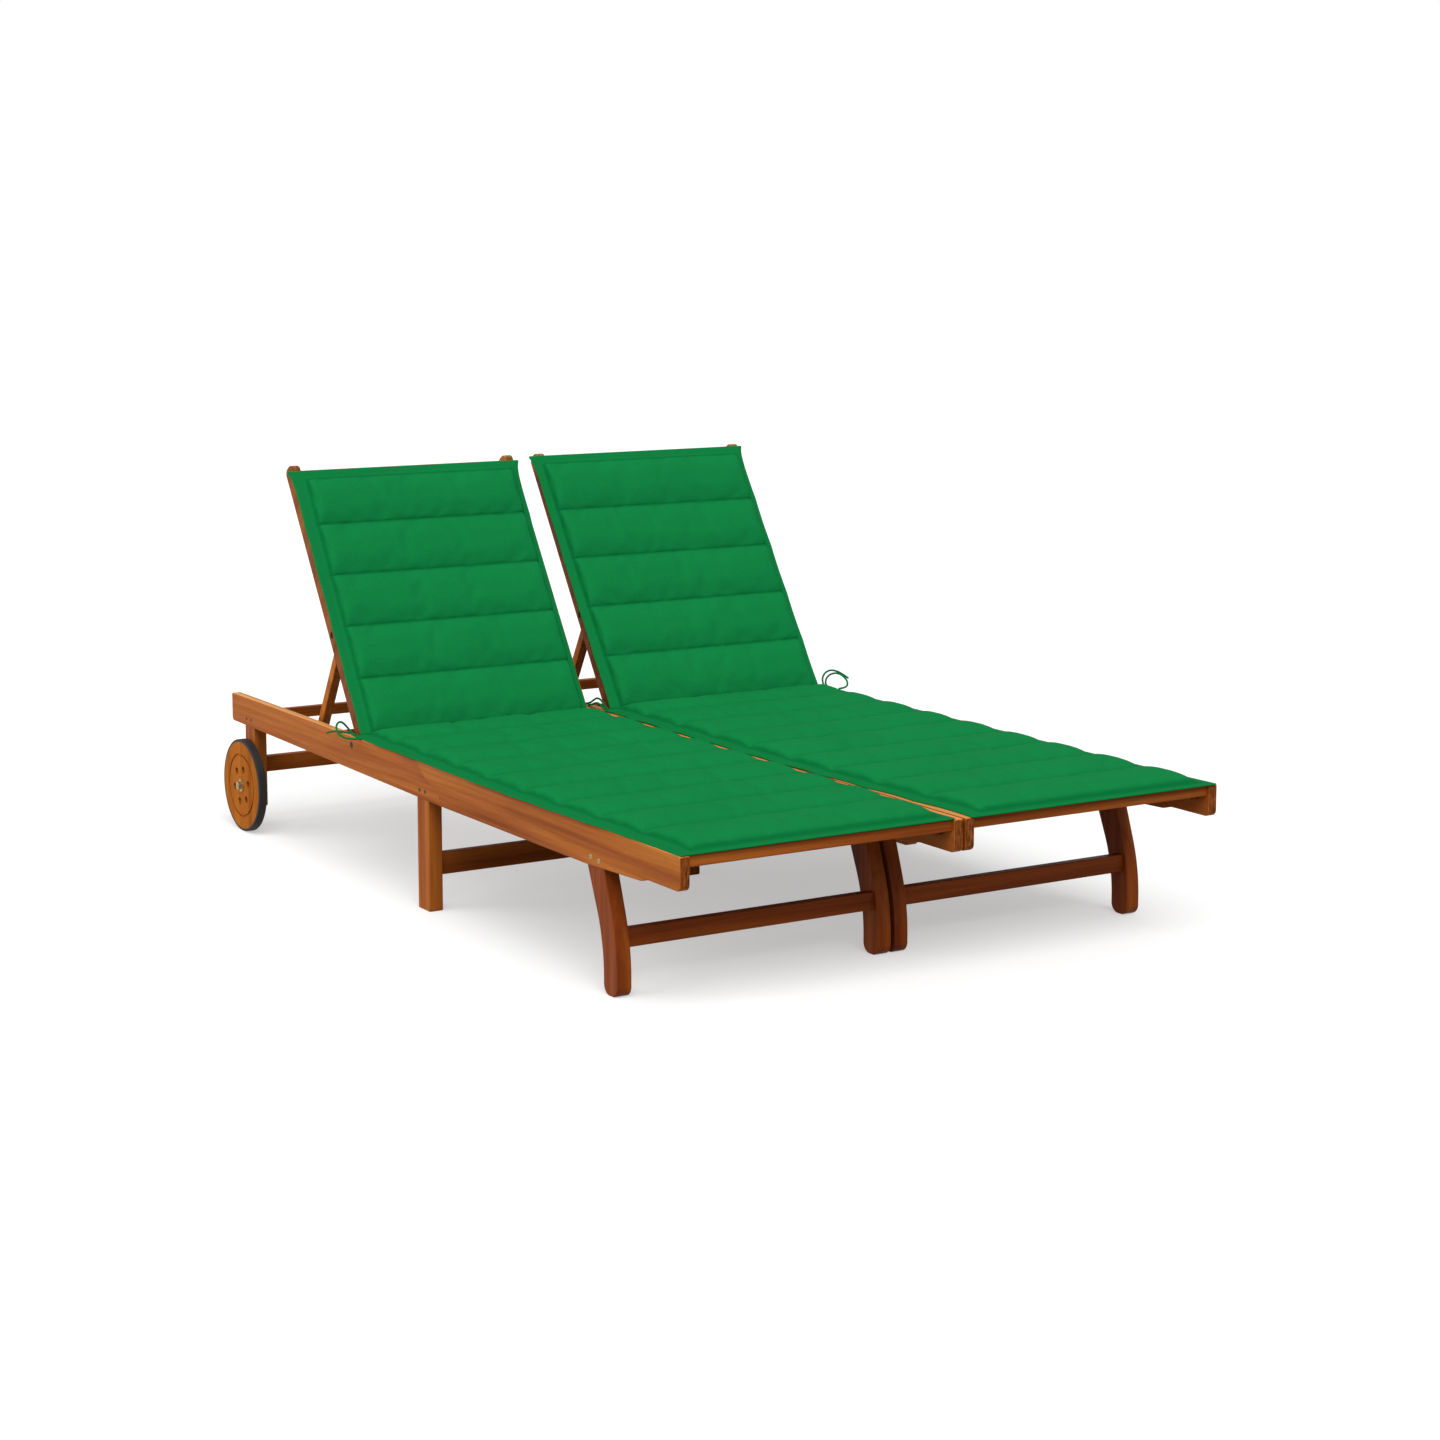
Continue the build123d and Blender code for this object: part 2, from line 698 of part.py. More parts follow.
# Wheels
def wheel_disc():
    """Wooden disc with a turned groove and a ring of holes."""
    radius = wheel_radius - tyre_depth
    span = (wheel_out, wheel_out + wheel_thickness)
    disc = pin(span, rear_leg_v, wheel_radius, radius)
    tools = [pin(span, rear_leg_v, wheel_radius, axle_radius + bore_clearance)]
    for index in range(wheel_hole_count):
        angle = 2 * math.pi * (index + wheel_hole_turn_share) / wheel_hole_count
        hole_v = rear_leg_v + wheel_hole_circle * math.cos(angle)
        hole_z = wheel_radius + wheel_hole_circle * math.sin(angle)
        tools.append(pin(span, hole_v, hole_z, wheel_hole_radius))
    groove_span = (wheel_out, wheel_out + wheel_groove_depth)
    groove = pin(groove_span, rear_leg_v, wheel_radius, wheel_groove_radius + wheel_groove_width / 2)
    core = pin(groove_span, rear_leg_v, wheel_radius, wheel_groove_radius - wheel_groove_width / 2)
    return bored(disc, tools + [bored(groove, [core])])


def tyre():
    """Rubber band round the disc, with rounded shoulders."""
    span = (wheel_out, wheel_out + wheel_thickness)
    band = pin(span, rear_leg_v, wheel_radius, wheel_radius)
    band = fillet(band.edges().filter_by(GeomType.CIRCLE), tyre_edge).solid()
    return bored(band, [pin(span, rear_leg_v, wheel_radius, wheel_radius - tyre_depth)])


def axle_bolt():
    """Bolt that the wheel turns on, its head on the inner side of the leg."""
    head = hexagon_bar((leg_inner, leg_inner + axle_head_height), rear_leg_v, wheel_radius, axle_nut_size)
    end = wheel_out - moving_gap - axle_washer_thickness - axle_nut_height - axle_stand
    return (head + pin((end, leg_inner), rear_leg_v, wheel_radius, axle_radius)).solid()


def axle_rings():
    """Spacer beside the leg and washer beside the nut."""
    spacer = (wheel_out + wheel_thickness + moving_gap, leg_inset)
    washer = (wheel_out - moving_gap - axle_washer_thickness, wheel_out - moving_gap)
    rings = [pin(span, rear_leg_v, wheel_radius, axle_washer_radius) for span in (spacer, washer)]
    return [bored(ring, [axle_bolt()]) for ring in rings]


def axle_nut():
    """Nut on the outer end of the axle bolt."""
    near = wheel_out - moving_gap - axle_washer_thickness
    nut = hexagon_bar((near - axle_nut_height, near), rear_leg_v, wheel_radius, axle_nut_size)
    return bored(nut, [axle_bolt()])


save_pair("wheel_disc", wheel_disc())
save_pair("wheel_tyre", tyre())
for piece_name, pieces in (("axle_bolts", [axle_bolt()]), ("axle_washers", axle_rings()),
                           ("axle_nuts", [axle_nut()])):
    save(piece_name, pieces + [to_right(piece) for piece in pieces])

all_screws = on_both_sides(screws)
near_hinge = [bolt] + hinge_rings(stile_side_gap)
far_hinge = [hinge_bolt(stile_far_gap)] + hinge_rings(stile_far_gap)
left_hinges = near_hinge + [to_inner(piece) for piece in far_hinge]
right_hinges = [to_right(piece) for piece in far_hinge + [to_inner(near) for near in near_hinge]]
save("leg_screws", all_screws + [to_right(screw) for screw in all_screws])
save("hinge_bolts", left_hinges + right_hinges)
save("frame_connectors", connectors)


# Cushions
def quilted_section(plane, seams, end_lean, valley, crown):
    """Section along a row of panels: flat underside, low points at the seams, arcs between them."""
    last = seams[-1]
    tops = [(place, valley) for place in seams[:-1]] + [(last - end_lean * valley, valley)]
    outline = Polyline(tops[-1], (last, 0), (seams[0], 0), tops[0])
    for start, end in zip(tops, tops[1:]):
        outline += ThreePointArc(start, ((start[0] + end[0]) / 2, crown), end)
    return plane * make_face(outline)


def quilted_body(plane_at, span, seams, end_lean, valley, crown):
    """Row of panels that swell quickly from the side seams to the middle."""
    shares = list(crown_shares) + [(1 - place, height) for place, height in reversed(crown_shares[:-1])]
    sections = []
    for place, height in shares:
        plane = plane_at(span[0] + place * (span[1] - span[0]))
        sections.append(quilted_section(plane, seams, end_lean, valley * height, crown * height))
    return loft(sections, ruled=True).solid()


def border(plane, seams, left_edge, right_edge, outward_bows):
    """Flat border between two side edges, each given at every seam, bowed out between the seams."""
    left = list(zip(left_edge, seams))
    right = list(zip(right_edge, seams))
    outline = Polyline(left[0], right[0]) + Polyline(left[-1], right[-1])
    for points, bow in ((left, -outward_bows[0]), (right, outward_bows[1])):
        for near, far in zip(points, points[1:]):
            middle = ((near[0] + far[0]) / 2 + bow, (near[1] + far[1]) / 2)
            outline += ThreePointArc(near, middle, far)
    return extrude(plane * make_face(outline), amount=border_thickness, dir=plane.z_dir).solid()


def seat_cushion(side):
    """Seat cushion on the rails and slats, open at the crease where the backrest starts."""
    seams = [seat_first_seam] + [seat_first_seam - border_thickness / 2 + index * seat_panel_pitch
                                 for index in range(1, seat_panel_count)] + [seat_crease]

    def plane_at(u):
        return Plane(origin=(outer_face_x + u, foot_end_y, rail_top), x_dir=(0, 1, 0), z_dir=(1, 0, 0))

    span = (seat_side_border, frame_width - seat_side_border)
    panels = quilted_body(plane_at, span, seams, seat_crease_lean_share, seat_valley, seat_crown)
    outer_shares, inner_shares = seat_edge_shares[side]
    outer_edge = [share * rail_thickness for share in outer_shares]
    inner_edge = [frame_width - share * rail_thickness for share in inner_shares]
    ground = Plane(origin=(outer_face_x, foot_end_y, rail_top))
    stops = [seat_foot_gap] + seams[1:]
    return (panels + border(ground, stops, outer_edge, inner_edge, seat_scallops[side])).solid()


def back_cushion():
    """Back cushion on the front of the stiles."""
    seams = [back_crease] + [back_first_seam + index * back_panel_pitch
                             for index in range(back_panel_count - 1)] + [back_top - back_top_border]

    def plane_at(u):
        return lean_plane(u) * Plane(origin=(0, cushion_front, 0))

    near_edge, far_edge = stile_u - back_overhang, stile_far - back_far_inset
    span = (near_edge + back_side_border, far_edge - back_side_border)
    panels = quilted_body(plane_at, span, seams, 0, back_valley, back_crown)
    front = (outer_face_x, foot_end_y + hinge_v - cushion_front * along_z, hinge_z + cushion_front * along_y)
    face = Plane(origin=front, x_dir=(1, 0, 0), z_dir=(0, -along_z, along_y))
    stops = seams[:-1] + [back_top]
    edges = ([near_edge] * len(stops), [far_edge] * len(stops))
    return (panels + border(face, stops, *edges, (back_scallop, back_scallop))).solid()


save("left_seat_cushion", seat_cushion("left"))
save("right_seat_cushion", to_right(seat_cushion("right")))
save_backrest_pair("back_cushion", back_cushion())


# Ties
def bend_radii(points):
    """Bend radius at each inner point of a route, from its shorter run and its turn."""
    radii = []
    for before, here, after in zip(points, points[1:], points[2:]):
        arrive, leave = Vector(*here) - Vector(*before), Vector(*after) - Vector(*here)
        half_turn = math.radians(arrive.get_angle(leave)) / 2
        radii.append(tie_bend_share * min(arrive.length, leave.length) / math.tan(half_turn))
    return radii


def tie(side, route):
    """Round cord along its route, and the same cord's length times its section."""
    points = []
    for u, v, z in route:
        x = outer_face_x + u
        if side == "right":
            x = -x
        if side == "right_inner":
            x = frame_gap / 2 + u
        points.append((x, foot_end_y + v, z))
    radii = bend_radii(points)
    path = FilletPolyline(*points, radius=radii)
    start = Plane(origin=points[0], z_dir=Vector(*points[1]) - Vector(*points[0]))
    cord = sweep(start * Circle(tie_diameter / 2), path=path).solid()
    return cord, path, radii


for tie_name, (side, route) in tie_routes.items():
    cord, path, radii = tie(side, route)
    expected = path.length * math.pi * tie_diameter ** 2 / 4
    print(tie_name, "length", round(path.length, 1), "least radius", round(min(radii), 1),
          "radii", [round(radius, 1) for radius in radii], "volume share", round(cord.volume / expected, 4))
    save(tie_name, cord)

print("hinge", hinge_v, hinge_z, "pivot", round(pivot_v, 3), round(pivot_z, 3), "bar", round(bar_v, 3))
print("prop turns", round(math.degrees(prop_turn), 4), "ratio",
      round(-(lean + prop_turn) / lean, 6), "lowest bar", round(lowest_bar_height(), 3))
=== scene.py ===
import math

import bpy
import numpy as np
from mathutils import Matrix, Vector


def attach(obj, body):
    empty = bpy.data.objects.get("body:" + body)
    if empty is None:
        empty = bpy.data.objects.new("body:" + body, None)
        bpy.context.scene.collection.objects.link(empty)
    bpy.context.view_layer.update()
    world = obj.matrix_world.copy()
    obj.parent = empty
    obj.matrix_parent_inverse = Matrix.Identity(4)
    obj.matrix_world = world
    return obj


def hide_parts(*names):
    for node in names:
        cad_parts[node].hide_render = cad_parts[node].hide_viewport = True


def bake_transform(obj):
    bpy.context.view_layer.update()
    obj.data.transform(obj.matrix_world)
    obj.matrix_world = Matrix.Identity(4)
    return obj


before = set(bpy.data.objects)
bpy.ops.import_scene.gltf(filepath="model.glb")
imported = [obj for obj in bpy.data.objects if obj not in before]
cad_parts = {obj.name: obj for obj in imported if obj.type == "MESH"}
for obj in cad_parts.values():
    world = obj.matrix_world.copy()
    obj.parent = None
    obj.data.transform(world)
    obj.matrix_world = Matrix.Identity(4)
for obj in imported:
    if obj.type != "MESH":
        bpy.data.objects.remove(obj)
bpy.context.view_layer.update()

MM = 0.001

# Sizes of the frame in millimetres, as the solids have them
HALF_GAP = 2.5
FRAME_WIDTH = 600.0
FOOT_END_Y = -1004.0
RAIL_TOP = 303.0
HINGE_V = 1343.6
HINGE_Z = 284.5
STILE_FRONT = 19.0
OUTER_X = -(HALF_GAP + FRAME_WIDTH)
PITCH = FRAME_WIDTH + 2 * HALF_GAP

# Slopes of a raised backrest and of its prop
LEAN = math.radians(57.0)
PROP_LEAN = math.radians(60.0)
ALONG = Vector((0, math.cos(LEAN), math.sin(LEAN)))
OUTWARD = Vector((0, -math.sin(LEAN), math.cos(LEAN)))

# Camera fitted to the photograph: place in metres, angles in degrees, focal length and shift in widths of
# the frame
CAMERA_PLACE = (-3.0681, -5.1250, 1.3927)
CAMERA_YAW = 31.7069
CAMERA_PITCH = 7.6719
CAMERA_FOCAL = 1.99590
CAMERA_SHIFT = -0.08333
CAMERA_CLIP = (0.1, 100)
SENSOR = 36.0


def add_object(name, data):
    """New object in the scene."""
    made = bpy.data.objects.new(name, data)
    bpy.context.scene.collection.objects.link(made)
    return made


def make_camera():
    """Camera at the photograph's viewing angle."""
    data = bpy.data.cameras.new("camera")
    camera = add_object("camera", data)
    yaw, pitch = math.radians(CAMERA_YAW), math.radians(CAMERA_PITCH)
    forward = Vector((math.sin(yaw) * math.cos(pitch), math.cos(yaw) * math.cos(pitch), -math.sin(pitch)))
    right = Vector((math.cos(yaw), -math.sin(yaw), 0))
    up = right.cross(forward)
    camera.rotation_mode = "QUATERNION"
    camera.rotation_quaternion = Matrix((right, up, -forward)).transposed().to_quaternion()
    camera.location = CAMERA_PLACE
    data.sensor_width = SENSOR
    data.lens = SENSOR * CAMERA_FOCAL
    data.shift_y = CAMERA_SHIFT
    data.clip_start, data.clip_end = CAMERA_CLIP
    bpy.context.scene.camera = camera


# Node helpers
WHITE = (1, 1, 1)


def feed(tree, socket, value):
    """Link an input to another socket, or set its value. A colour may come without its alpha."""
    if isinstance(value, bpy.types.NodeSocket):
        tree.links.new(value, socket)
    elif socket.type == "RGBA" and len(value) == 3:
        socket.default_value = (*value, 1)
    else:
        socket.default_value = value


def add(tree, kind, inputs=None, **settings):
    """New node with its settings, and its inputs linked to sockets or set to values."""
    made = tree.nodes.new("ShaderNode" + kind)
    for name, value in settings.items():
        setattr(made, name, value)
    for name, value in (inputs or {}).items():
        feed(tree, made.inputs[name], value)
    return made


def empty_tree(owner):
    """Node tree of a material or a world, emptied."""
    owner.use_nodes = True
    owner.node_tree.nodes.clear()
    return owner.node_tree


def new_material(name):
    """Material with an empty tree, its shader and its output."""
    material = bpy.data.materials.new(name)
    tree = empty_tree(material)
    shader = add(tree, "BsdfPrincipled")
    add(tree, "OutputMaterial", {"Surface": shader.outputs["BSDF"]})
    return material, tree, shader


def ramp(tree, value, stops):
    """Colour ramp over a value. Stops are (place, colour) pairs."""
    made = add(tree, "ValToRGB", {"Fac": value})
    elements = made.color_ramp.elements
    while len(elements) < len(stops):
        elements.new(0.5)
    for element, (place, colour) in zip(elements, stops):
        element.position = place
        element.color = (*colour, 1)
    return made.outputs["Color"]


def curve_of(tree, value, low, high, new_low=0.0, new_high=1.0):
    """Value mapped and clamped from one range to another."""
    made = add(tree, "MapRange", {"Value": value, "From Min": low, "From Max": high,
                                  "To Min": new_low, "To Max": new_high})
    return made.outputs["Result"]


def multiply(tree, colour, tint, amount=1.0):
    """One colour multiplied by another."""
    made = add(tree, "Mix", {0: amount, 6: colour, 7: tint}, data_type="RGBA", blend_type="MULTIPLY")
    return made.outputs[2]


def blend_colours(tree, factor, first, second):
    """Mix of two colours by a factor."""
    return add(tree, "Mix", {0: factor, 6: first, 7: second}, data_type="RGBA").outputs[2]


def math_node(tree, operation, first, second=0.0):
    """Arithmetic on one or two values."""
    return add(tree, "Math", {0: first, 1: second}, operation=operation).outputs[0]


def turn_back(tree, vector, turn):
    """A vector in the axes of something that is turned."""
    return add(tree, "Mapping", {"Vector": vector, "Rotation": turn}, vector_type="TEXTURE").outputs[0]


def noise_at(tree, place, scale, detail, roughness=0.5, distortion=0.0):
    """Noise from 0 to 1 over a place."""
    made = add(tree, "TexNoise", {"Vector": place, "Scale": scale, "Detail": detail, "Roughness": roughness,
                                  "Distortion": distortion})
    return made.outputs["Fac"]


def darker(colour, share):
    """A share of a colour."""
    return tuple(share * part for part in colour)


def dress(tree, shader, colour, rough, shine=None, relief=None):
    """Feed a shader. The relief is a height, how strongly it shows and its depth in metres."""
    feed(tree, shader.inputs["Base Color"], colour)
    feed(tree, shader.inputs["Roughness"], rough)
    if shine is not None:
        feed(tree, shader.inputs["Specular IOR Level"], shine)
    if relief:
        height, strength, depth = relief
        bump = add(tree, "Bump", {"Height": height, "Strength": strength, "Distance": depth})
        feed(tree, shader.inputs["Normal"], bump.outputs[0])


# Wood: turns that bring the grain of each kind of board onto the third axis of the noise
WOOD_TURNS = {
    "across": (0, math.pi / 2, 0),
    "along": (math.pi / 2, 0, 0),
    "upright": (0, 0, 0),
    "leaning": (math.pi / 2 - LEAN, 0, 0),
    "prop": (-math.pi / 2 + PROP_LEAN, 0, 0),
}

# Its noises: scale on three axes, detail, roughness and distortion
WOOD_TONE = ((16, 16, 1.1), 3, 0.55, 0.6)
WOOD_STREAK = ((90, 90, 2.4), 5, 0.62, 0.4)
WOOD_LINE = ((420, 420, 7), 3, 0.5, 0)
WOOD_PORE = ((1500, 1500, 34), 2, 0.5, 0)
WOOD_RINGS = ((240, 60, 60), 4, 0.5, 0)

# Tints that the noises lay over its colour, and how strongly they show
STREAK_TINTS = ((0.36, (0.66, 0.56, 0.46)), (0.5, (0.95, 0.94, 0.92)), (0.66, (1.1, 1.1, 1.1)))
LINE_TINTS = ((0.38, (0.78, 0.7, 0.62)), (0.55, WHITE))
PORE_TINTS = ((0.3, (0.3, 0.22, 0.18)), (0.37, WHITE))
BOARD_TINTS = ((0.0, (0.84, 0.8, 0.78)), (0.5, WHITE), (1.0, (1.08, 1.1, 1.12)))
STREAKS_SHOW, LINES_SHOW, PORES_SHOW = 0.55, 0.4, 0.4

# Shift of the grain from board to board, in metres, and the faces that show end grain or get a painted
# highlight on top, by how squarely they look along the grain or upward
BOARD_SHIFT = (7.0, 3.0)
END_GRAIN_FACING = (0.75, 0.92)
RING_SHARES = (0.30, 0.8)
HIGHLIGHT_FACING = (0.6, 0.95)
# Tint of the painted highlight that lightens upward faces, standing in for the light falling on them
TOP_HIGHLIGHT_TINT = (2.0, 3.3, 7.0)


def wood(name, direction, tones, gloss=0.5, shine=0.08, pale=0.0):
    """Oiled hardwood with its grain along one direction, and a painted highlight on top faces where pale is
    over 0.
    """
    material, tree, shader = new_material(name)
    dark, middle, light = tones
    coordinates = add(tree, "TexCoord")
    shade = add(tree, "ObjectInfo").outputs["Random"]

    def in_board(vector):
        """A vector turned into the board's own axes."""
        return turn_back(tree, vector, WOOD_TURNS[direction])

    offset = add(tree, "CombineXYZ", {"X": math_node(tree, "MULTIPLY", shade, BOARD_SHIFT[0]),
                                      "Y": math_node(tree, "MULTIPLY", shade, BOARD_SHIFT[1]), "Z": shade})
    moved = add(tree, "VectorMath", {0: in_board(coordinates.outputs["Object"]), 1: offset.outputs[0]},
                operation="ADD").outputs[0]

    def noise(scale, detail, roughness, distortion):
        """Noise that follows the grain."""
        scaled = add(tree, "Mapping", {"Vector": moved, "Scale": scale}).outputs[0]
        return noise_at(tree, scaled, 1.0, detail, roughness, distortion)

    streak, line, pore = noise(*WOOD_STREAK), noise(*WOOD_LINE), noise(*WOOD_PORE)
    colour = ramp(tree, noise(*WOOD_TONE), [(0.3, dark), (0.5, middle), (0.72, light)])
    colour = multiply(tree, colour, ramp(tree, streak, STREAK_TINTS), STREAKS_SHOW)
    colour = multiply(tree, colour, ramp(tree, line, LINE_TINTS), LINES_SHOW)
    colour = multiply(tree, colour, ramp(tree, pore, PORE_TINTS), PORES_SHOW)
    colour = multiply(tree, colour, ramp(tree, shade, BOARD_TINTS))
    normal = coordinates.outputs["Normal"]
    facing = math_node(tree, "ABSOLUTE", add(tree, "SeparateXYZ", {0: in_board(normal)}).outputs["Z"])
    rings = ramp(tree, noise(*WOOD_RINGS), [(0.35, darker(dark, RING_SHARES[0])),
                                            (0.65, darker(middle, RING_SHARES[1]))])
    colour = blend_colours(tree, curve_of(tree, facing, *END_GRAIN_FACING), colour, rings)
    # Painted highlight: faces that look upward are lightened, as if lit from above
    if pale:
        upward = add(tree, "SeparateXYZ", {0: normal}).outputs["Z"]
        highlighted = multiply(tree, colour, TOP_HIGHLIGHT_TINT)
        colour = blend_colours(tree, curve_of(tree, upward, *HIGHLIGHT_FACING, 0.0, pale), colour, highlighted)
    rough = curve_of(tree, streak, 0.3, 0.7, gloss + 0.12, gloss - 0.06)
    height = math_node(tree, "ADD", math_node(tree, "MULTIPLY", line, 0.6), curve_of(tree, pore, 0.3, 0.38))
    dress(tree, shader, colour, rough, shine, (height, 0.18, 0.0006))
    return material


# Metal: the smears' scale and shade, and where along the lounger the screws turn to painted shade, in metres
SMEAR_SCALE = 380.0
SMEAR_SHADE = 0.72
SHADE_FROM = (-0.6, -0.5)


def metal(name, colour, rough, shaded_colour=None):
    """Plated steel with fine smears, painted darker away from the foot end as shade under the lounger, where
    a second colour is given.
    """
    material, tree, shader = new_material(name)
    place = add(tree, "TexCoord").outputs["Object"]
    smear = noise_at(tree, place, SMEAR_SCALE, 4.0)
    tone = ramp(tree, smear, [(0.3, darker(colour, SMEAR_SHADE)), (0.7, colour)])
    # Painted shade: the colour turns to the shaded one away from the foot end
    if shaded_colour:
        along = add(tree, "SeparateXYZ", {0: place}).outputs["Y"]
        tone = blend_colours(tree, curve_of(tree, along, *SHADE_FROM), tone, shaded_colour)
    dress(tree, shader, tone, curve_of(tree, smear, 0.3, 0.7, rough - 0.08, rough + 0.12))
    feed(tree, shader.inputs["Metallic"], 1.0)
    return material


# Rubber
RUBBER = (0.009, 0.0082, 0.0075)
DUSTY_RUBBER = (0.021, 0.019, 0.017)
DUST_SCALE = 26.0
RUBBER_GRAIN = 2200.0


def rubber(name):
    """Matt black rubber, dusty in places, with a fine grain."""
    material, tree, shader = new_material(name)
    place = add(tree, "TexCoord").outputs["Object"]
    dust = noise_at(tree, place, DUST_SCALE, 5.0)
    tone = ramp(tree, dust, [(0.35, RUBBER), (0.75, DUSTY_RUBBER)])
    grain = noise_at(tree, place, RUBBER_GRAIN, 2.0)
    dress(tree, shader, tone, curve_of(tree, dust, 0.3, 0.8, 0.55, 0.8), 0.25, (grain, 0.25, 0.0003))
    return material


# Fabric: threads per metre of the covers and of the ties, scales of its noises and its faint shades
COVER_THREADS = 900.0
TIE_THREADS = 1400.0
SLUB_SCALE = 160.0
MOTTLE_SCALE = 5.0
MOTTLE_SHADE = 0.93
WEAVE_SHADE = 0.93
SLUB_SHADE = 0.95


def fabric(name, colour, shadow, turn, threads):
    """Plain woven cover: crossed threads, slight mottling, and painted shade along the sewn lines, on the
    border and on the rolled edge.
    """
    material, tree, shader = new_material(name)
    place = add(tree, "TexCoord").outputs["Object"]
    turned = turn_back(tree, place, (turn, 0, 0))
    axes = add(tree, "SeparateXYZ", {0: turned})
    angles = (math_node(tree, "MULTIPLY", axes.outputs[axis], threads * 2 * math.pi) for axis in "XY")
    warp, weft = (math_node(tree, "SINE", angle) for angle in angles)
    weave = math_node(tree, "MULTIPLY", warp, weft)
    slub = noise_at(tree, turned, SLUB_SCALE, 3.0)
    mottle = noise_at(tree, turned, MOTTLE_SCALE, 4.0, 0.6)
    base = ramp(tree, mottle, [(0.3, darker(colour, MOTTLE_SHADE)), (0.7, colour)])
    crossings = ramp(tree, curve_of(tree, weave, -1, 1), [(0, darker(WHITE, WEAVE_SHADE)), (1, WHITE)])
    base = multiply(tree, base, crossings)
    base = multiply(tree, base, ramp(tree, slub, [(0.3, darker(WHITE, SLUB_SHADE)), (0.6, WHITE)]))
    # The seam attribute is painted shade: darker in the sewn channels, on the sloping border and on the
    # rolled edge
    seam = add(tree, "Attribute", attribute_name="seam").outputs["Fac"]
    height = math_node(tree, "ADD", math_node(tree, "MULTIPLY", weave, 0.5), slub)
    dress(tree, shader, blend_colours(tree, seam, base, shadow), 0.88, 0.02, (height, 0.3, 0.0004))
    return material


# Colours as they are under plain light, except the painted shade and painted highlight noted below. The tones
# of a wood are dark, middle and light
FRAME_TONES = ((0.225, 0.050, 0.0055), (0.345, 0.092, 0.0115), (0.45, 0.145, 0.022))
# Stiles: the frame wood darkened as painted shade, for the shade they stand in beside the cushions
SHADED_STILE_TONES = ((0.17, 0.045, 0.006), (0.26, 0.075, 0.011), (0.35, 0.115, 0.020))
PROP_TONES = ((0.33, 0.085, 0.008), (0.48, 0.145, 0.016), (0.60, 0.215, 0.030))
# Legs and stretchers: a darker wood, darkened further as painted shade for the shade under the seat
LEG_TONES_WITH_SHADE = ((0.135, 0.023, 0.0022), (0.225, 0.044, 0.0042), (0.31, 0.078, 0.0080))
WHEEL_TONES = ((0.30, 0.082, 0.006), (0.42, 0.122, 0.010), (0.53, 0.180, 0.018))
GREEN = (0.0050, 0.185, 0.0462)
# Green in painted shade, for the channels, the border and the rolled edge
SHADED_GREEN = (0.0015, 0.118, 0.0275)
TIE_SHADE = 0.85
STEEL = (0.44, 0.35, 0.20)
# Leg screws further from the foot end, painted dark as the shade under the lounger
FAR_SHADE_STEEL = (0.11, 0.06, 0.025)
# Bolts in their recesses: steel painted dark as the shade there
RECESS_SHADE_STEEL = (0.05, 0.03, 0.015)

across_wood = wood("wood_across", "across", FRAME_TONES)
upright_wood = wood("wood_upright", "upright", FRAME_TONES)
# Rails and stiles get a painted highlight on their top faces, set by pale
along_wood = wood("wood_along", "along", FRAME_TONES, pale=0.75)
leaning_wood = wood("wood_leaning", "leaning", SHADED_STILE_TONES, pale=0.9)
prop_wood = wood("wood_prop", "prop", PROP_TONES)
leg_wood = wood("leg_wood", "upright", LEG_TONES_WITH_SHADE, gloss=0.42)
stretcher_wood = wood("stretcher_wood", "across", LEG_TONES_WITH_SHADE, gloss=0.42)
wheel_face = wood("wheel_face", "upright", WHEEL_TONES, gloss=0.55, shine=0.03)
steel = metal("steel", STEEL, 0.32)
screw_steel = metal("screw_steel", STEEL, 0.36, shaded_colour=FAR_SHADE_STEEL)
recess_shade_steel = metal("recess_shade_steel", RECESS_SHADE_STEEL, 0.55)
tyre_rubber = rubber("tyre_rubber")
seat_fabric = fabric("seat_fabric", GREEN, SHADED_GREEN, 0.0, COVER_THREADS)
back_fabric = fabric("back_fabric", GREEN, SHADED_GREEN, LEAN, COVER_THREADS)
tie_fabric = fabric("tie_fabric", darker(GREEN, TIE_SHADE), SHADED_GREEN, 0.0, TIE_THREADS)

# The first line with a word that is in a CAD node's name gives its material. Rails, racks and cleats have
# none of these words
NODE_MATERIALS = (
    (("tyre",), tyre_rubber),
    (("wheel_disc",), wheel_face),
    (("hinge_bolts", "prop_bolts"), recess_shade_steel),
    (("leg_screws",), screw_steel),
    (("bolt", "screw", "washer", "nuts", "connectors"), steel),
    (("front_stretcher",), stretcher_wood),
    (("stretcher", "cross_rails", "slats", "prop_bar"), across_wood),
    (("front_leg",), leg_wood),
    (("_leg",), upright_wood),
    (("stile",), leaning_wood),
    (("prop_arms",), prop_wood),
)


def node_material(node):
    """Material of a CAD node, from its name."""
    for words, material in NODE_MATERIALS:
        if any(word in node for word in words):
            return material
    return along_wood


def paint_nodes():
    """Put its material on every CAD node."""
    for name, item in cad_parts.items():
        item.data.materials.clear()
        item.data.materials.append(node_material(name))


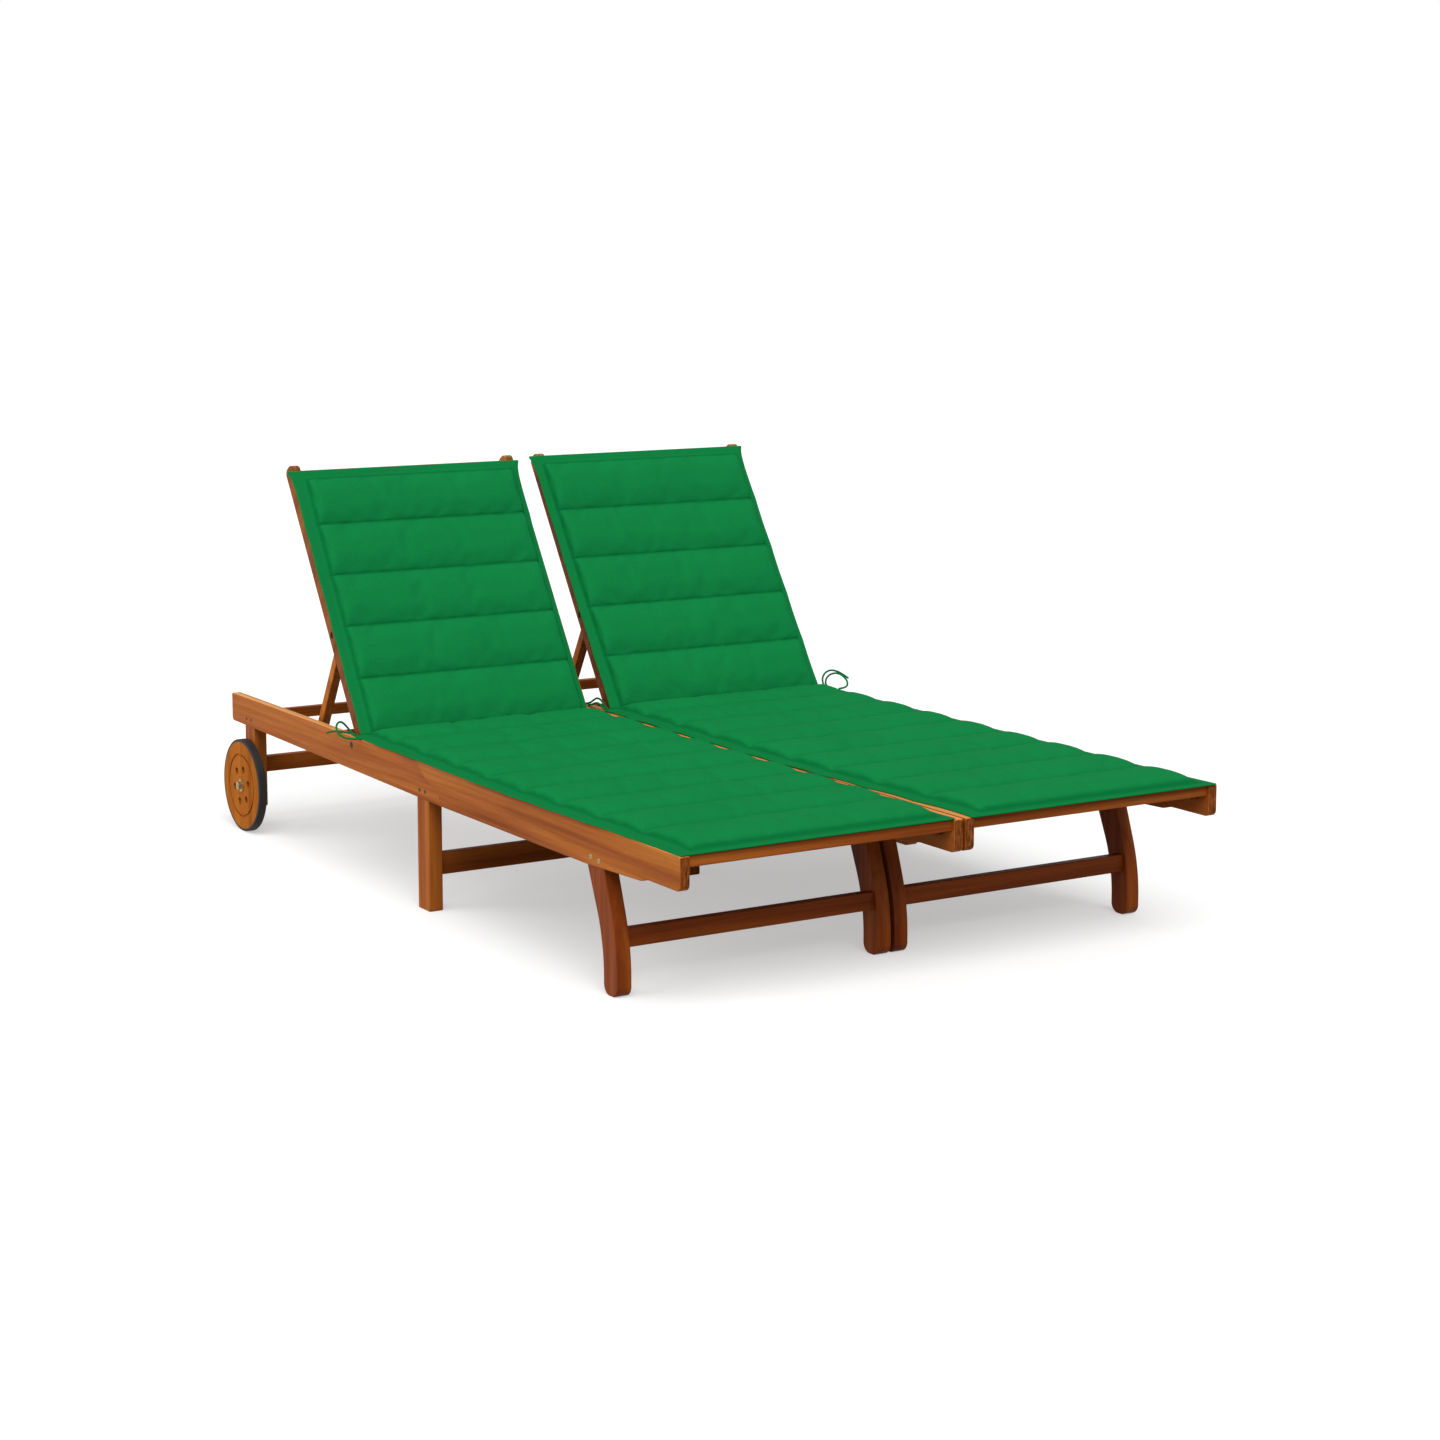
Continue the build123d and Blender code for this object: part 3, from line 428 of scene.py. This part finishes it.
# Ties: side, far end, length, and the route as points (u, v, height), all in millimetres. On the left u runs
# inward from the outer side of the lounger and v from its foot end. The right routes are mirror images, and
# the right_inner ones start from the inner side of the right lounger
TIE_DIAMETER = 4.5
TIE_ORDER = 3
TIE_STEPS = 12
TIE_ROUNDNESS = 5
TIES = {
    "left_tie_loop": (
        "left", "object", 154.5,
        ((4.5, 1330.0, 305.5), (4.5, 1342.0, 305.5), (2.0, 1352.5, 312.5), (-6.0, 1355.0, 324.0),
         (-18.0, 1350.0, 334.5), (-31.0, 1341.0, 336.5), (-40.5, 1330.5, 329.0), (-42.0, 1319.0, 317.5),
         (-34.0, 1308.0, 309.0), (-20.0, 1300.5, 306.0), (-6.0, 1296.0, 305.8), (0.9, 1294.6, 305.6)),
    ),
    "left_tie_end": (
        "left", "bare", 103.3,
        ((10.4, 1330.0, 305.5), (10.4, 1348.0, 305.5), (8.8, 1370.0, 305.6), (1.0, 1392.0, 305.8),
         (-10.0, 1411.0, 305.2), (-19.0, 1426.0, 300.0)),
    ),
    "middle_tie_upper": (
        "right_inner", "bare", 109.3,
        ((10.4, 1330.0, 305.5), (10.4, 1342.0, 305.5), (10.2, 1353.0, 312.0), (9.0, 1364.0, 322.0),
         (7.5, 1380.0, 325.5), (7.5, 1396.0, 318.5), (7.0, 1413.0, 308.5), (5.5, 1430.0, 305.6)),
    ),
    "middle_tie_lower": (
        "right_inner", "bare", 84.8,
        ((4.5, 1330.0, 305.5), (4.5, 1341.0, 305.5), (3.2, 1352.0, 311.0), (1.5, 1364.0, 316.5),
         (0.5, 1379.0, 314.5), (1.0, 1395.0, 307.8), (2.5, 1411.0, 305.5)),
    ),
    "right_tie_end": (
        "right", "bare", 111.2,
        ((10.4, 1330.0, 305.5), (10.4, 1342.0, 305.5), (10.2, 1351.5, 313.5), (7.0, 1357.0, 325.0),
         (-2.0, 1358.0, 336.0), (-15.0, 1354.0, 341.0), (-30.0, 1348.0, 336.5), (-43.0, 1342.0, 328.0),
         (-53.0, 1338.0, 320.0)),
    ),
    "right_tie_loop": (
        "right", "object", 143.2,
        ((4.5, 1330.0, 305.5), (4.5, 1342.0, 305.5), (2.5, 1351.5, 312.0), (-2.5, 1355.0, 322.5),
         (-12.0, 1351.0, 332.0), (-24.0, 1342.0, 334.5), (-34.0, 1331.0, 328.0), (-37.5, 1319.5, 317.0),
         (-31.0, 1309.0, 309.0), (-18.0, 1302.0, 306.0), (-4.0, 1298.8, 305.8), (0.7, 1297.9, 305.6)),
    ),
}


def tie_point(side, u, v, height):
    """A point of a tie's route in the shared frame, in metres."""
    x = OUTER_X + u
    if side == "right":
        x = -x
    if side == "right_inner":
        x = HALF_GAP + u
    return Vector((x, FOOT_END_Y + v, height)) * MM


def make_tie(node, side, route):
    """Smooth round cord that follows the route's points."""
    points = [tie_point(side, *place) for place in route]
    data = bpy.data.curves.new(node + "_cord", "CURVE")
    data.dimensions = "3D"
    spline = data.splines.new("NURBS")
    spline.points.add(len(points) - 1)
    for point, place in zip(spline.points, points):
        point.co = (*place, 1)
    spline.order_u = TIE_ORDER
    spline.use_endpoint_u = True
    spline.resolution_u = TIE_STEPS
    data.bevel_depth = TIE_DIAMETER / 2 * MM
    data.bevel_resolution = TIE_ROUNDNESS
    data.use_fill_caps = True
    data.materials.append(tie_fabric)
    cord = add_object(node + "_cord", data)
    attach(cord, "frame")
    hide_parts(node)


# Cushions, in millimetres: the grid of points, which has extra lines beside each seam, and the thin edges
SEAM_OFFSETS = (1.5, 4.0, 8.0, 14.0)
BORDER_STEPS = 5
GRID_STEP = 11.0
COLUMN_STEPS = 44
CROWN_AT_SEAM = 0.42
EDGE_THICKNESS = 3.2
BORDER_THICKNESS = 5.0
EDGE_ROUND = 1.6
# EDGE_SHADE is painted shade on the rolled edge
EDGE_SHADE = 0.15

# How near to a line a point counts as on it, as beside it and as past it
ON_LINE, BESIDE_LINE, PAST_LINE = 0.1, 0.5, 1.0

# Panels: height at the seams (valley) and between them (crown), power of the curve in between, reach of the
# slope at the sides, pressure inside the cloth, and painted shade along the sewn lines and on the border
SEAT = {
    "end": 1330.0,
    "valley": 9.0, "crown": 20.5, "power": 2.8, "reach": 9.0, "pressure": 2.0,
    "seam_shade_width": 9.0, "seam_shade_depth": 0.42, "side_shade_width": 6.0, "side_shade_depth": (1.0, 1.0), "border_shade": 0.36,
}
BACK = {
    "start": 13.0, "end": 642.0, "top_seam": 618.0,
    "valley": 12.0, "crown": 21.0, "power": 6.0, "reach": 4.0, "pressure": 0.9,
    "seam_shade_width": 3.2, "seam_shade_depth": 1.0, "side_shade_width": 3.2, "side_shade_depth": (0.85, 0.0), "border_shade": 0.15,
}

# Places of the cross seams along each cushion. A seat's start is that of its edge and of its first seam
SEAT_STARTS = {"left": (1.0, 21.0), "right": (-5.0, 14.0)}
SEAT_CHANNELS = {
    "left": (182.0, 329.0, 470.0, 611.0, 759.0, 903.0, 1055.0, 1202.0),
    "right": (174.0, 325.0, 476.0, 622.0, 774.0, 914.0, 1062.0, 1208.0),
}
BACK_CHANNELS = tuple(136.0 + 123.0 * index for index in range(4))
TOP_RAISED = {"left": 0.0, "right": 8.0}

# Side edges and side seams across the lounger, at each stop from the start of the cushion to its end, and how
# far the edges bow out between the stops
SEAT_EDGES = {
    "left": ((1.0, -1.0, -5.0, -8.5, -10.0, -9.0, -6.0, -3.0, -2.0, 1.5),
             (582.0, 593.0, 592.0, 590.0, 589.0, 589.0, 590.0, 592.0, 593.0, 582.0)),
    "right": ((6.0, 9.0, 9.0, 8.0, 8.0, 8.0, 8.0, 8.0, 7.0, 1.5),
              (588.0, 593.0, 600.0, 605.0, 609.0, 611.0, 610.0, 608.0, 606.0, 603.0)),
}
SEAT_SIDES = {
    "left": ((34.0, 28.0, 22.5, 18.0, 16.5, 17.0, 20.5, 25.5, 28.0, 28.0),
             (561.0, 567.0, 567.0, 565.0, 564.0, 564.0, 565.0, 566.0, 566.0, 560.0)),
    "right": ((34.0, 35.0, 36.0, 37.0, 38.0, 38.0, 38.0, 37.0, 36.0, 36.0),
              (556.0, 565.0, 572.5, 577.5, 580.0, 580.5, 578.5, 575.0, 573.0, 573.0)),
}
SEAT_BOWS = {"left": (2.0, -7.0), "right": (2.0, -6.0)}
BACK_EDGES = {
    "left": ((17.0, 17.0, 17.0, 17.0, 17.0, 17.0), (562.0, 562.0, 562.0, 562.0, 563.5, 567.0)),
    "right": ((15.0, 13.0, 11.0, 10.0, 9.0, 8.0), (567.5, 566.0, 565.0, 564.5, 564.0, 564.0)),
}
BACK_SIDES = {
    "left": ((42.0, 43.0, 44.0, 44.0, 45.0, 47.0), (548.0, 548.0, 548.0, 548.0, 548.5, 550.0)),
    "right": ((40.0, 37.0, 33.0, 31.0, 29.0, 27.0), (553.0, 551.0, 550.0, 549.0, 548.0, 548.0)),
}
BACK_BOW = (1.5, -1.5)

# Ears: the top corners of a back cushion stand out sideways
EAR = 9.0
EAR_REACH = 16.0


def grid_lines(stops, steps=None):
    """Lines from the first stop to the last, crowded on both sides of each stop."""
    lines = []
    for near, far in zip(stops, stops[1:]):
        inner = [near] + [near + offset for offset in SEAM_OFFSETS]
        outer = [far - offset for offset in reversed(SEAM_OFFSETS)]
        room = outer[0] - inner[-1]
        count = steps or max(1, round(room / GRID_STEP))
        inner += [inner[-1] + room * step / count for step in range(1, count)]
        lines += inner + outer
    return lines + [stops[-1]]


def edge_across(edge, stops, bow, place):
    """Distance across the lounger of a side edge, which moves by the bow between stops."""
    for index, (near, far) in enumerate(zip(stops, stops[1:])):
        if near <= place <= far:
            within = (place - near) / (far - near)
            return edge[index] + within * (edge[index + 1] - edge[index]) + bow * 4 * within * (1 - within)
    return edge[-1]


def crown_share(inward, reach):
    """Share of the full height at a distance from the nearer side seam."""
    return CROWN_AT_SEAM + (1 - CROWN_AT_SEAM) * (1 - math.exp(-inward / reach))


def panel_height(shape, seams, place):
    """Height along a row of panels before it is blown up: low at the seams, high between them."""
    for near, far in zip(seams, seams[1:]):
        if near <= place <= far:
            within = abs(2 * (place - near) / (far - near) - 1)
            return shape["valley"] + (shape["crown"] - shape["valley"]) * (1 - within ** shape["power"])
    return shape["valley"]


class Pad:
    """Upper side of a cushion as a grid of points in its own axes: across, along and height."""

    def __init__(self, shape, seams, stops, edges, sides, bows, ears=False):
        self.shape, self.seams, self.stops = shape, seams, stops
        self.edges, self.sides, self.bows, self.ears = edges, sides, bows, ears
        start_rows, end_rows = [], []
        if stops[0] < seams[0]:
            step = (seams[0] - stops[0]) / BORDER_STEPS
            start_rows = [stops[0] + step * index for index in range(BORDER_STEPS)]
        if stops[-1] > seams[-1]:
            step = (stops[-1] - seams[-1]) / BORDER_STEPS
            end_rows = [seams[-1] + step * (index + 1) for index in range(BORDER_STEPS)]
        rows = start_rows + grid_lines(seams) + end_rows
        self.rows = np.array(rows)
        self.points = np.array([self.row_points(place) for place in rows])

    def row_points(self, place):
        """Points of one row, from the outer edge to the inner edge."""
        near, far = (edge_across(side, self.stops, 0.0, place) for side in self.sides)
        left = edge_across(self.edges[0], self.stops, self.bows[0], place)
        right = edge_across(self.edges[1], self.stops, self.bows[1], place)
        if self.ears:
            flare = EAR * math.exp(-(self.stops[-1] - place) / EAR_REACH)
            left, right = left - flare, right + flare
        in_panels = self.seams[0] <= place <= self.seams[-1]
        height = panel_height(self.shape, self.seams, place) if in_panels else 0
        end_share = max(0, (self.seams[0] - place) / max(1, self.seams[0] - self.stops[0]),
                        (place - self.seams[-1]) / max(1, self.stops[-1] - self.seams[-1]))
        border = BORDER_THICKNESS + (EDGE_THICKNESS - BORDER_THICKNESS) * end_share
        row = []
        for step in range(BORDER_STEPS):
            share = step / BORDER_STEPS
            thin = min(border, EDGE_THICKNESS + (BORDER_THICKNESS - EDGE_THICKNESS) * share)
            row.append((left + (near - left) * share, place, thin))
        for across in grid_lines((near, far), COLUMN_STEPS):
            inward = min(across - near, far - across)
            lift = height * crown_share(inward, self.shape["reach"]) if in_panels else 0
            row.append((across, place, max(lift, border)))
        for step in range(BORDER_STEPS):
            share = (step + 1) / BORDER_STEPS
            thin = min(border, BORDER_THICKNESS + (EDGE_THICKNESS - BORDER_THICKNESS) * share)
            row.append((far + (right - far) * share, place, thin))
        return row

    def painted_shade(self):
        """Painted shade at each point, from 0 to 1: along the sewn lines, on the border and beyond the side
        seams.
        """
        rows, across = self.rows, self.points[..., 0]
        strength = np.zeros(across.shape)
        for seam in self.seams:
            depth = self.shape["seam_shade_depth"] if seam in self.seams[1:-1] else 1.0
            shade = depth * np.exp(-((rows - seam) / self.shape["seam_shade_width"]) ** 2)
            strength = np.maximum(strength, shade[:, None])
        near, far = (np.array([edge_across(side, self.stops, 0.0, place) for place in rows])[:, None]
                     for side in self.sides)
        strength *= (across >= near - BESIDE_LINE) & (across <= far + BESIDE_LINE)
        in_rows = ((rows >= self.seams[0]) & (rows <= self.seams[-1]))[:, None]
        for side, depth in zip((near, far), self.shape["side_shade_depth"]):
            line = depth * np.exp(-((across - side) / self.shape["side_shade_width"]) ** 2)
            strength = np.maximum(strength, line * in_rows)
        outside = (across < near - PAST_LINE) | (across > far + PAST_LINE) | ~in_rows
        return np.maximum(strength, self.shape["border_shade"] * outside)

    def pinned(self):
        """Which points the sewing holds in place."""
        held = np.zeros(self.points.shape[:2], bool)
        for seam in self.seams:
            held |= (np.abs(self.rows - seam) < ON_LINE)[:, None]
        held[self.rows < self.seams[0] + ON_LINE] = True
        held[self.rows > self.seams[-1] - ON_LINE] = True
        held[:, :BORDER_STEPS + 1] = True
        held[:, -BORDER_STEPS - 1:] = True
        return held


def grid_faces(rows, columns, start=0, flip=False):
    """Quads of a grid of points."""
    faces = []
    for row in range(rows - 1):
        for column in range(columns - 1):
            corner = start + row * columns + column
            face = (corner, corner + 1, corner + columns + 1, corner + columns)
            faces.append(face[::-1] if flip else face)
    return faces


# Cloth: frames, share by which the cover shrinks (it grows when this is under 0), most that a point may move
# in millimetres, and stiffness
CLOTH_FRAMES = 16
CLOTH_SHRINK = -0.008
CLOTH_CAP = 4.0
CLOTH_QUALITY = 5
CLOTH_STRETCH = 12
CLOTH_SHEAR = 6
CLOTH_BENDING = 0.6
TINY = 1e-9


def blow_up(pad, name):
    """Cloth simulation of the cover: the sewn lines hold and the panels swell and pucker between them."""
    rows, columns = pad.points.shape[:2]
    mesh = bpy.data.meshes.new(name + "_cloth")
    mesh.from_pydata((pad.points.reshape(-1, 3) * MM).tolist(), [], grid_faces(rows, columns))
    item = add_object(name + "_cloth", mesh)
    group = item.vertex_groups.new(name="sewn")
    group.add([int(index) for index in np.flatnonzero(pad.pinned().reshape(-1))], 1.0, "REPLACE")
    cloth = item.modifiers.new("cloth", "CLOTH")
    settings = cloth.settings
    settings.quality = CLOTH_QUALITY
    settings.vertex_group_mass = "sewn"
    settings.use_pressure = True
    settings.uniform_pressure_force = pad.shape["pressure"]
    settings.shrink_min = CLOTH_SHRINK
    settings.tension_stiffness = settings.compression_stiffness = CLOTH_STRETCH
    settings.shear_stiffness = CLOTH_SHEAR
    settings.bending_stiffness = CLOTH_BENDING
    settings.effector_weights.gravity = 0
    cloth.point_cache.frame_start, cloth.point_cache.frame_end = 1, CLOTH_FRAMES
    scene = bpy.context.scene
    for step in range(1, CLOTH_FRAMES + 1):
        scene.frame_set(step)
    result = item.evaluated_get(bpy.context.evaluated_depsgraph_get()).to_mesh()
    moved = np.empty(len(result.vertices) * 3)
    result.vertices.foreach_get("co", moved)
    scene.frame_set(1)
    bpy.data.objects.remove(item)
    bpy.data.meshes.remove(mesh)
    step = moved.reshape(pad.points.shape) / MM - pad.points
    length = np.linalg.norm(step, axis=2, keepdims=True)
    pad.points = pad.points + step * np.minimum(1, CLOTH_CAP / np.maximum(length, TINY))


def close_pad(pad, name, place, material, side, mirrored):
    """Closed cushion from its upper side: a rolled edge and a flat underside."""
    rows, columns = pad.points.shape[:2]
    top = pad.points.reshape(-1, 3)
    ring = [(0, column) for column in range(columns)] + [(row, columns - 1) for row in range(1, rows)]
    ring += [(rows - 1, column) for column in range(columns - 2, -1, -1)]
    ring += [(row, 0) for row in range(rows - 2, 0, -1)]
    points = [tuple(point) for point in top] + [(across, along, 0.0) for across, along, _ in top]
    bottom_start, middle_start = len(top), 2 * len(top)
    for row, column in ring:
        across, along, height = pad.points[row, column]
        out = np.array([(column == columns - 1) - (column == 0), (row == rows - 1) - (row == 0)], float)
        out = out / max(1.0, np.linalg.norm(out))
        points.append((across + out[0] * EDGE_ROUND, along + out[1] * EDGE_ROUND, height * 0.5))
    # Painted shade: along the sewn lines and on the border on top, none beneath, a little on the rolled edge
    shade_values = [*pad.painted_shade().reshape(-1), *[0.0] * len(top), *[EDGE_SHADE] * len(ring)]
    faces = grid_faces(rows, columns) + grid_faces(rows, columns, bottom_start, flip=True)
    for index in range(len(ring)):
        following = (index + 1) % len(ring)
        here = ring[index][0] * columns + ring[index][1]
        there = ring[following][0] * columns + ring[following][1]
        middle, middle_next = middle_start + index, middle_start + following
        faces.append((there, here, middle, middle_next))
        faces.append((middle_next, middle, bottom_start + here, bottom_start + there))
    vertices = []
    for across, along, height in points:
        x, y, z = place(across, along, height)
        if side == "right":
            x = -x if mirrored else x + PITCH * MM
        vertices.append((x, y, z))
    if side == "right" and mirrored:
        faces = [face[::-1] for face in faces]
    mesh = bpy.data.meshes.new(name)
    mesh.from_pydata(vertices, [], faces)
    attribute = mesh.attributes.new("seam", "FLOAT", "POINT")
    attribute.data.foreach_set("value", np.array(shade_values, np.float32))
    for polygon in mesh.polygons:
        polygon.use_smooth = True
    mesh.materials.append(material)
    item = add_object(name, mesh)
    smooth = item.modifiers.new("smooth", "SUBSURF")
    smooth.levels = smooth.render_levels = 1
    return item


def seat_place(across, along, height):
    """Point of a left seat cushion in the shared frame."""
    return tuple(Vector((OUTER_X + across, FOOT_END_Y + along, RAIL_TOP + height)) * MM)


def back_place(across, along, height):
    """Point of a left back cushion in the shared frame."""
    hinge = Vector((OUTER_X + across, FOOT_END_Y + HINGE_V, HINGE_Z))
    return tuple((hinge + ALONG * along + OUTWARD * (STILE_FRONT + height)) * MM)


# Crease: how far from it the seat's panels start to slope, and how much of their height they lean by
CREASE_REACH = 60.0
CREASE_LEAN = 1.15


def lean_the_crease(pad):
    """Slope the rear end of the seat's panels so that the backrest clears them."""
    ends = (pad.points[..., 1] - (SEAT["end"] - CREASE_REACH)) / CREASE_REACH
    weight = np.clip(ends, 0, 1) ** 2
    pad.points[..., 1] -= weight * np.maximum(0, pad.points[..., 2] - BORDER_THICKNESS) * CREASE_LEAN


def make_cushions():
    """Seat and back cushions of both loungers. The right seat is a mirror image, the right back is not."""
    for side in ("left", "right"):
        start, first = SEAT_STARTS[side]
        seams = [first, *SEAT_CHANNELS[side], SEAT["end"]]
        pad = Pad(SEAT, seams, [start, *seams[1:]], SEAT_EDGES[side], SEAT_SIDES[side], SEAT_BOWS[side])
        blow_up(pad, side + "_seat")
        lean_the_crease(pad)
        seat = close_pad(pad, side + "_seat_pad", seat_place, seat_fabric, side, True)
        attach(seat, "frame")
        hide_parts(side + "_seat_cushion")
        seams = [BACK["start"], *BACK_CHANNELS, BACK["top_seam"] + TOP_RAISED[side]]
        stops = [*seams[:-1], BACK["end"] + TOP_RAISED[side]]
        pad = Pad(BACK, seams, stops, BACK_EDGES[side], BACK_SIDES[side], BACK_BOW, ears=True)
        blow_up(pad, side + "_back")
        back = close_pad(pad, side + "_back_pad", back_place, back_fabric, side, False)
        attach(back, side + "_backrest")
        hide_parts(side + "_back_cushion")


# Gusset: the slack cloth folded down into the crease, which on the real lounger opens out when a backrest
# lies flat; here it is a fixed strip. Its route is (v, height), its span is across the lounger, and half is
# half of its thickness
GUSSET_ROUTE = ((1325.5, 305.6), (1328.6, 305.0), (1330.2, 301.0), (1330.8, 296.0), (1331.3, 291.0),
                (1331.9, 289.6), (1332.5, 291.0), (1333.0, 296.0), (1333.5, 301.0), (1334.3, 307.5),
                (1335.8, 311.2))
GUSSET_HALF = 0.5
GUSSET_SPAN = (62.0, 528.0)
GUSSET_STEPS = 40


def make_gussets():
    """Thin strip of cover cloth across the crease of each lounger."""
    route = np.array(GUSSET_ROUTE)
    tangent = np.gradient(route, axis=0)
    normal = np.stack([-tangent[:, 1], tangent[:, 0]], 1)
    normal /= np.linalg.norm(normal, axis=1, keepdims=True)
    loop = np.concatenate([route + GUSSET_HALF * normal, (route - GUSSET_HALF * normal)[::-1]])
    count = len(loop)
    for side in ("left", "right"):
        start = OUTER_X if side == "left" else HALF_GAP
        vertices = []
        for step in range(GUSSET_STEPS + 1):
            across = GUSSET_SPAN[0] + (GUSSET_SPAN[1] - GUSSET_SPAN[0]) * step / GUSSET_STEPS
            for along, height in loop:
                vertices.append(((start + across) * MM, (FOOT_END_Y + along) * MM, height * MM))
        faces = []
        for step in range(GUSSET_STEPS):
            for index in range(count):
                following = (index + 1) % count
                near, far = step * count, (step + 1) * count
                faces.append((near + index, far + index, far + following, near + following))
        faces.append(tuple(range(count)))
        faces.append(tuple(range((GUSSET_STEPS + 1) * count - 1, GUSSET_STEPS * count - 1, -1)))
        mesh = bpy.data.meshes.new(side + "_gusset")
        mesh.from_pydata(vertices, [], faces)
        mesh.materials.append(seat_fabric)
        gusset = add_object(side + "_gusset", mesh)
        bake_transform(gusset)


# Room. The lights are broad and far: name, direction that they come from, breadth in degrees, strength
FLOOR_SIZE = 60.0
FLOOR_BOUNCE = 0.3
FLOOR_SEEN = 0.98
FLOOR_GLOW = 0.45
WORLD_LIGHT = 0.4
LIGHTS = (
    ("top_light", (-0.15, -0.6, 0.8), 50, 2.8),
    ("left_light", (-0.9, 0.15, 0.4), 60, 1.6),
)


def seen_by_eye(tree):
    """1 for rays that show the background itself: from the camera, in gloss and through glass."""
    path = add(tree, "LightPath")
    seen = math_node(tree, "MAXIMUM", path.outputs["Is Camera Ray"], path.outputs["Is Glossy Ray"])
    return math_node(tree, "MAXIMUM", seen, path.outputs["Is Transmission Ray"])


def make_floor():
    """Plain pale floor that keeps a soft shadow."""
    half = FLOOR_SIZE / 2
    mesh = bpy.data.meshes.new("floor")
    corners = [(-half, -half, 0), (half, -half, 0), (half, half, 0), (-half, half, 0)]
    mesh.from_pydata(corners, [], [(0, 1, 2, 3)])
    floor = add_object("floor", mesh)
    material = bpy.data.materials.new("floor")
    tree = empty_tree(material)
    bounce = add(tree, "BsdfDiffuse", {"Color": darker(WHITE, FLOOR_BOUNCE)})
    surface = add(tree, "BsdfDiffuse", {"Color": darker(WHITE, FLOOR_SEEN)})
    glow = add(tree, "Emission", {"Color": WHITE, "Strength": 1.0})
    seen = add(tree, "MixShader", {0: FLOOR_GLOW, 1: surface.outputs[0], 2: glow.outputs[0]})
    both = add(tree, "MixShader", {0: seen_by_eye(tree), 1: bounce.outputs[0], 2: seen.outputs[0]})
    add(tree, "OutputMaterial", {"Surface": both.outputs[0]})
    mesh.materials.append(material)


def make_world():
    """White backdrop, with softer light from it on the object."""
    world = bpy.data.worlds.new("world")
    tree = empty_tree(world)
    light = add(tree, "Background", {"Color": WHITE, "Strength": WORLD_LIGHT})
    shown = add(tree, "Background", {"Color": WHITE, "Strength": 1.0})
    both = add(tree, "MixShader", {0: seen_by_eye(tree), 1: light.outputs[0], 2: shown.outputs[0]})
    add(tree, "OutputWorld", {"Surface": both.outputs[0]})
    bpy.context.scene.world = world


def make_lights():
    """Broad soft light from above the foot end and a weaker one from the left."""
    for name, toward, breadth, strength in LIGHTS:
        data = bpy.data.lights.new(name, "SUN")
        data.angle = math.radians(breadth)
        data.energy = strength
        light = add_object(name, data)
        light.rotation_mode = "QUATERNION"
        light.rotation_quaternion = Vector(toward).to_track_quat("Z", "Y")


make_camera()
for node, (side, far_end, length, route) in TIES.items():
    make_tie(node, side, route)
paint_nodes()
make_cushions()
make_gussets()
make_floor()
make_world()
make_lights()
bpy.context.scene.view_settings.view_transform = "Standard"
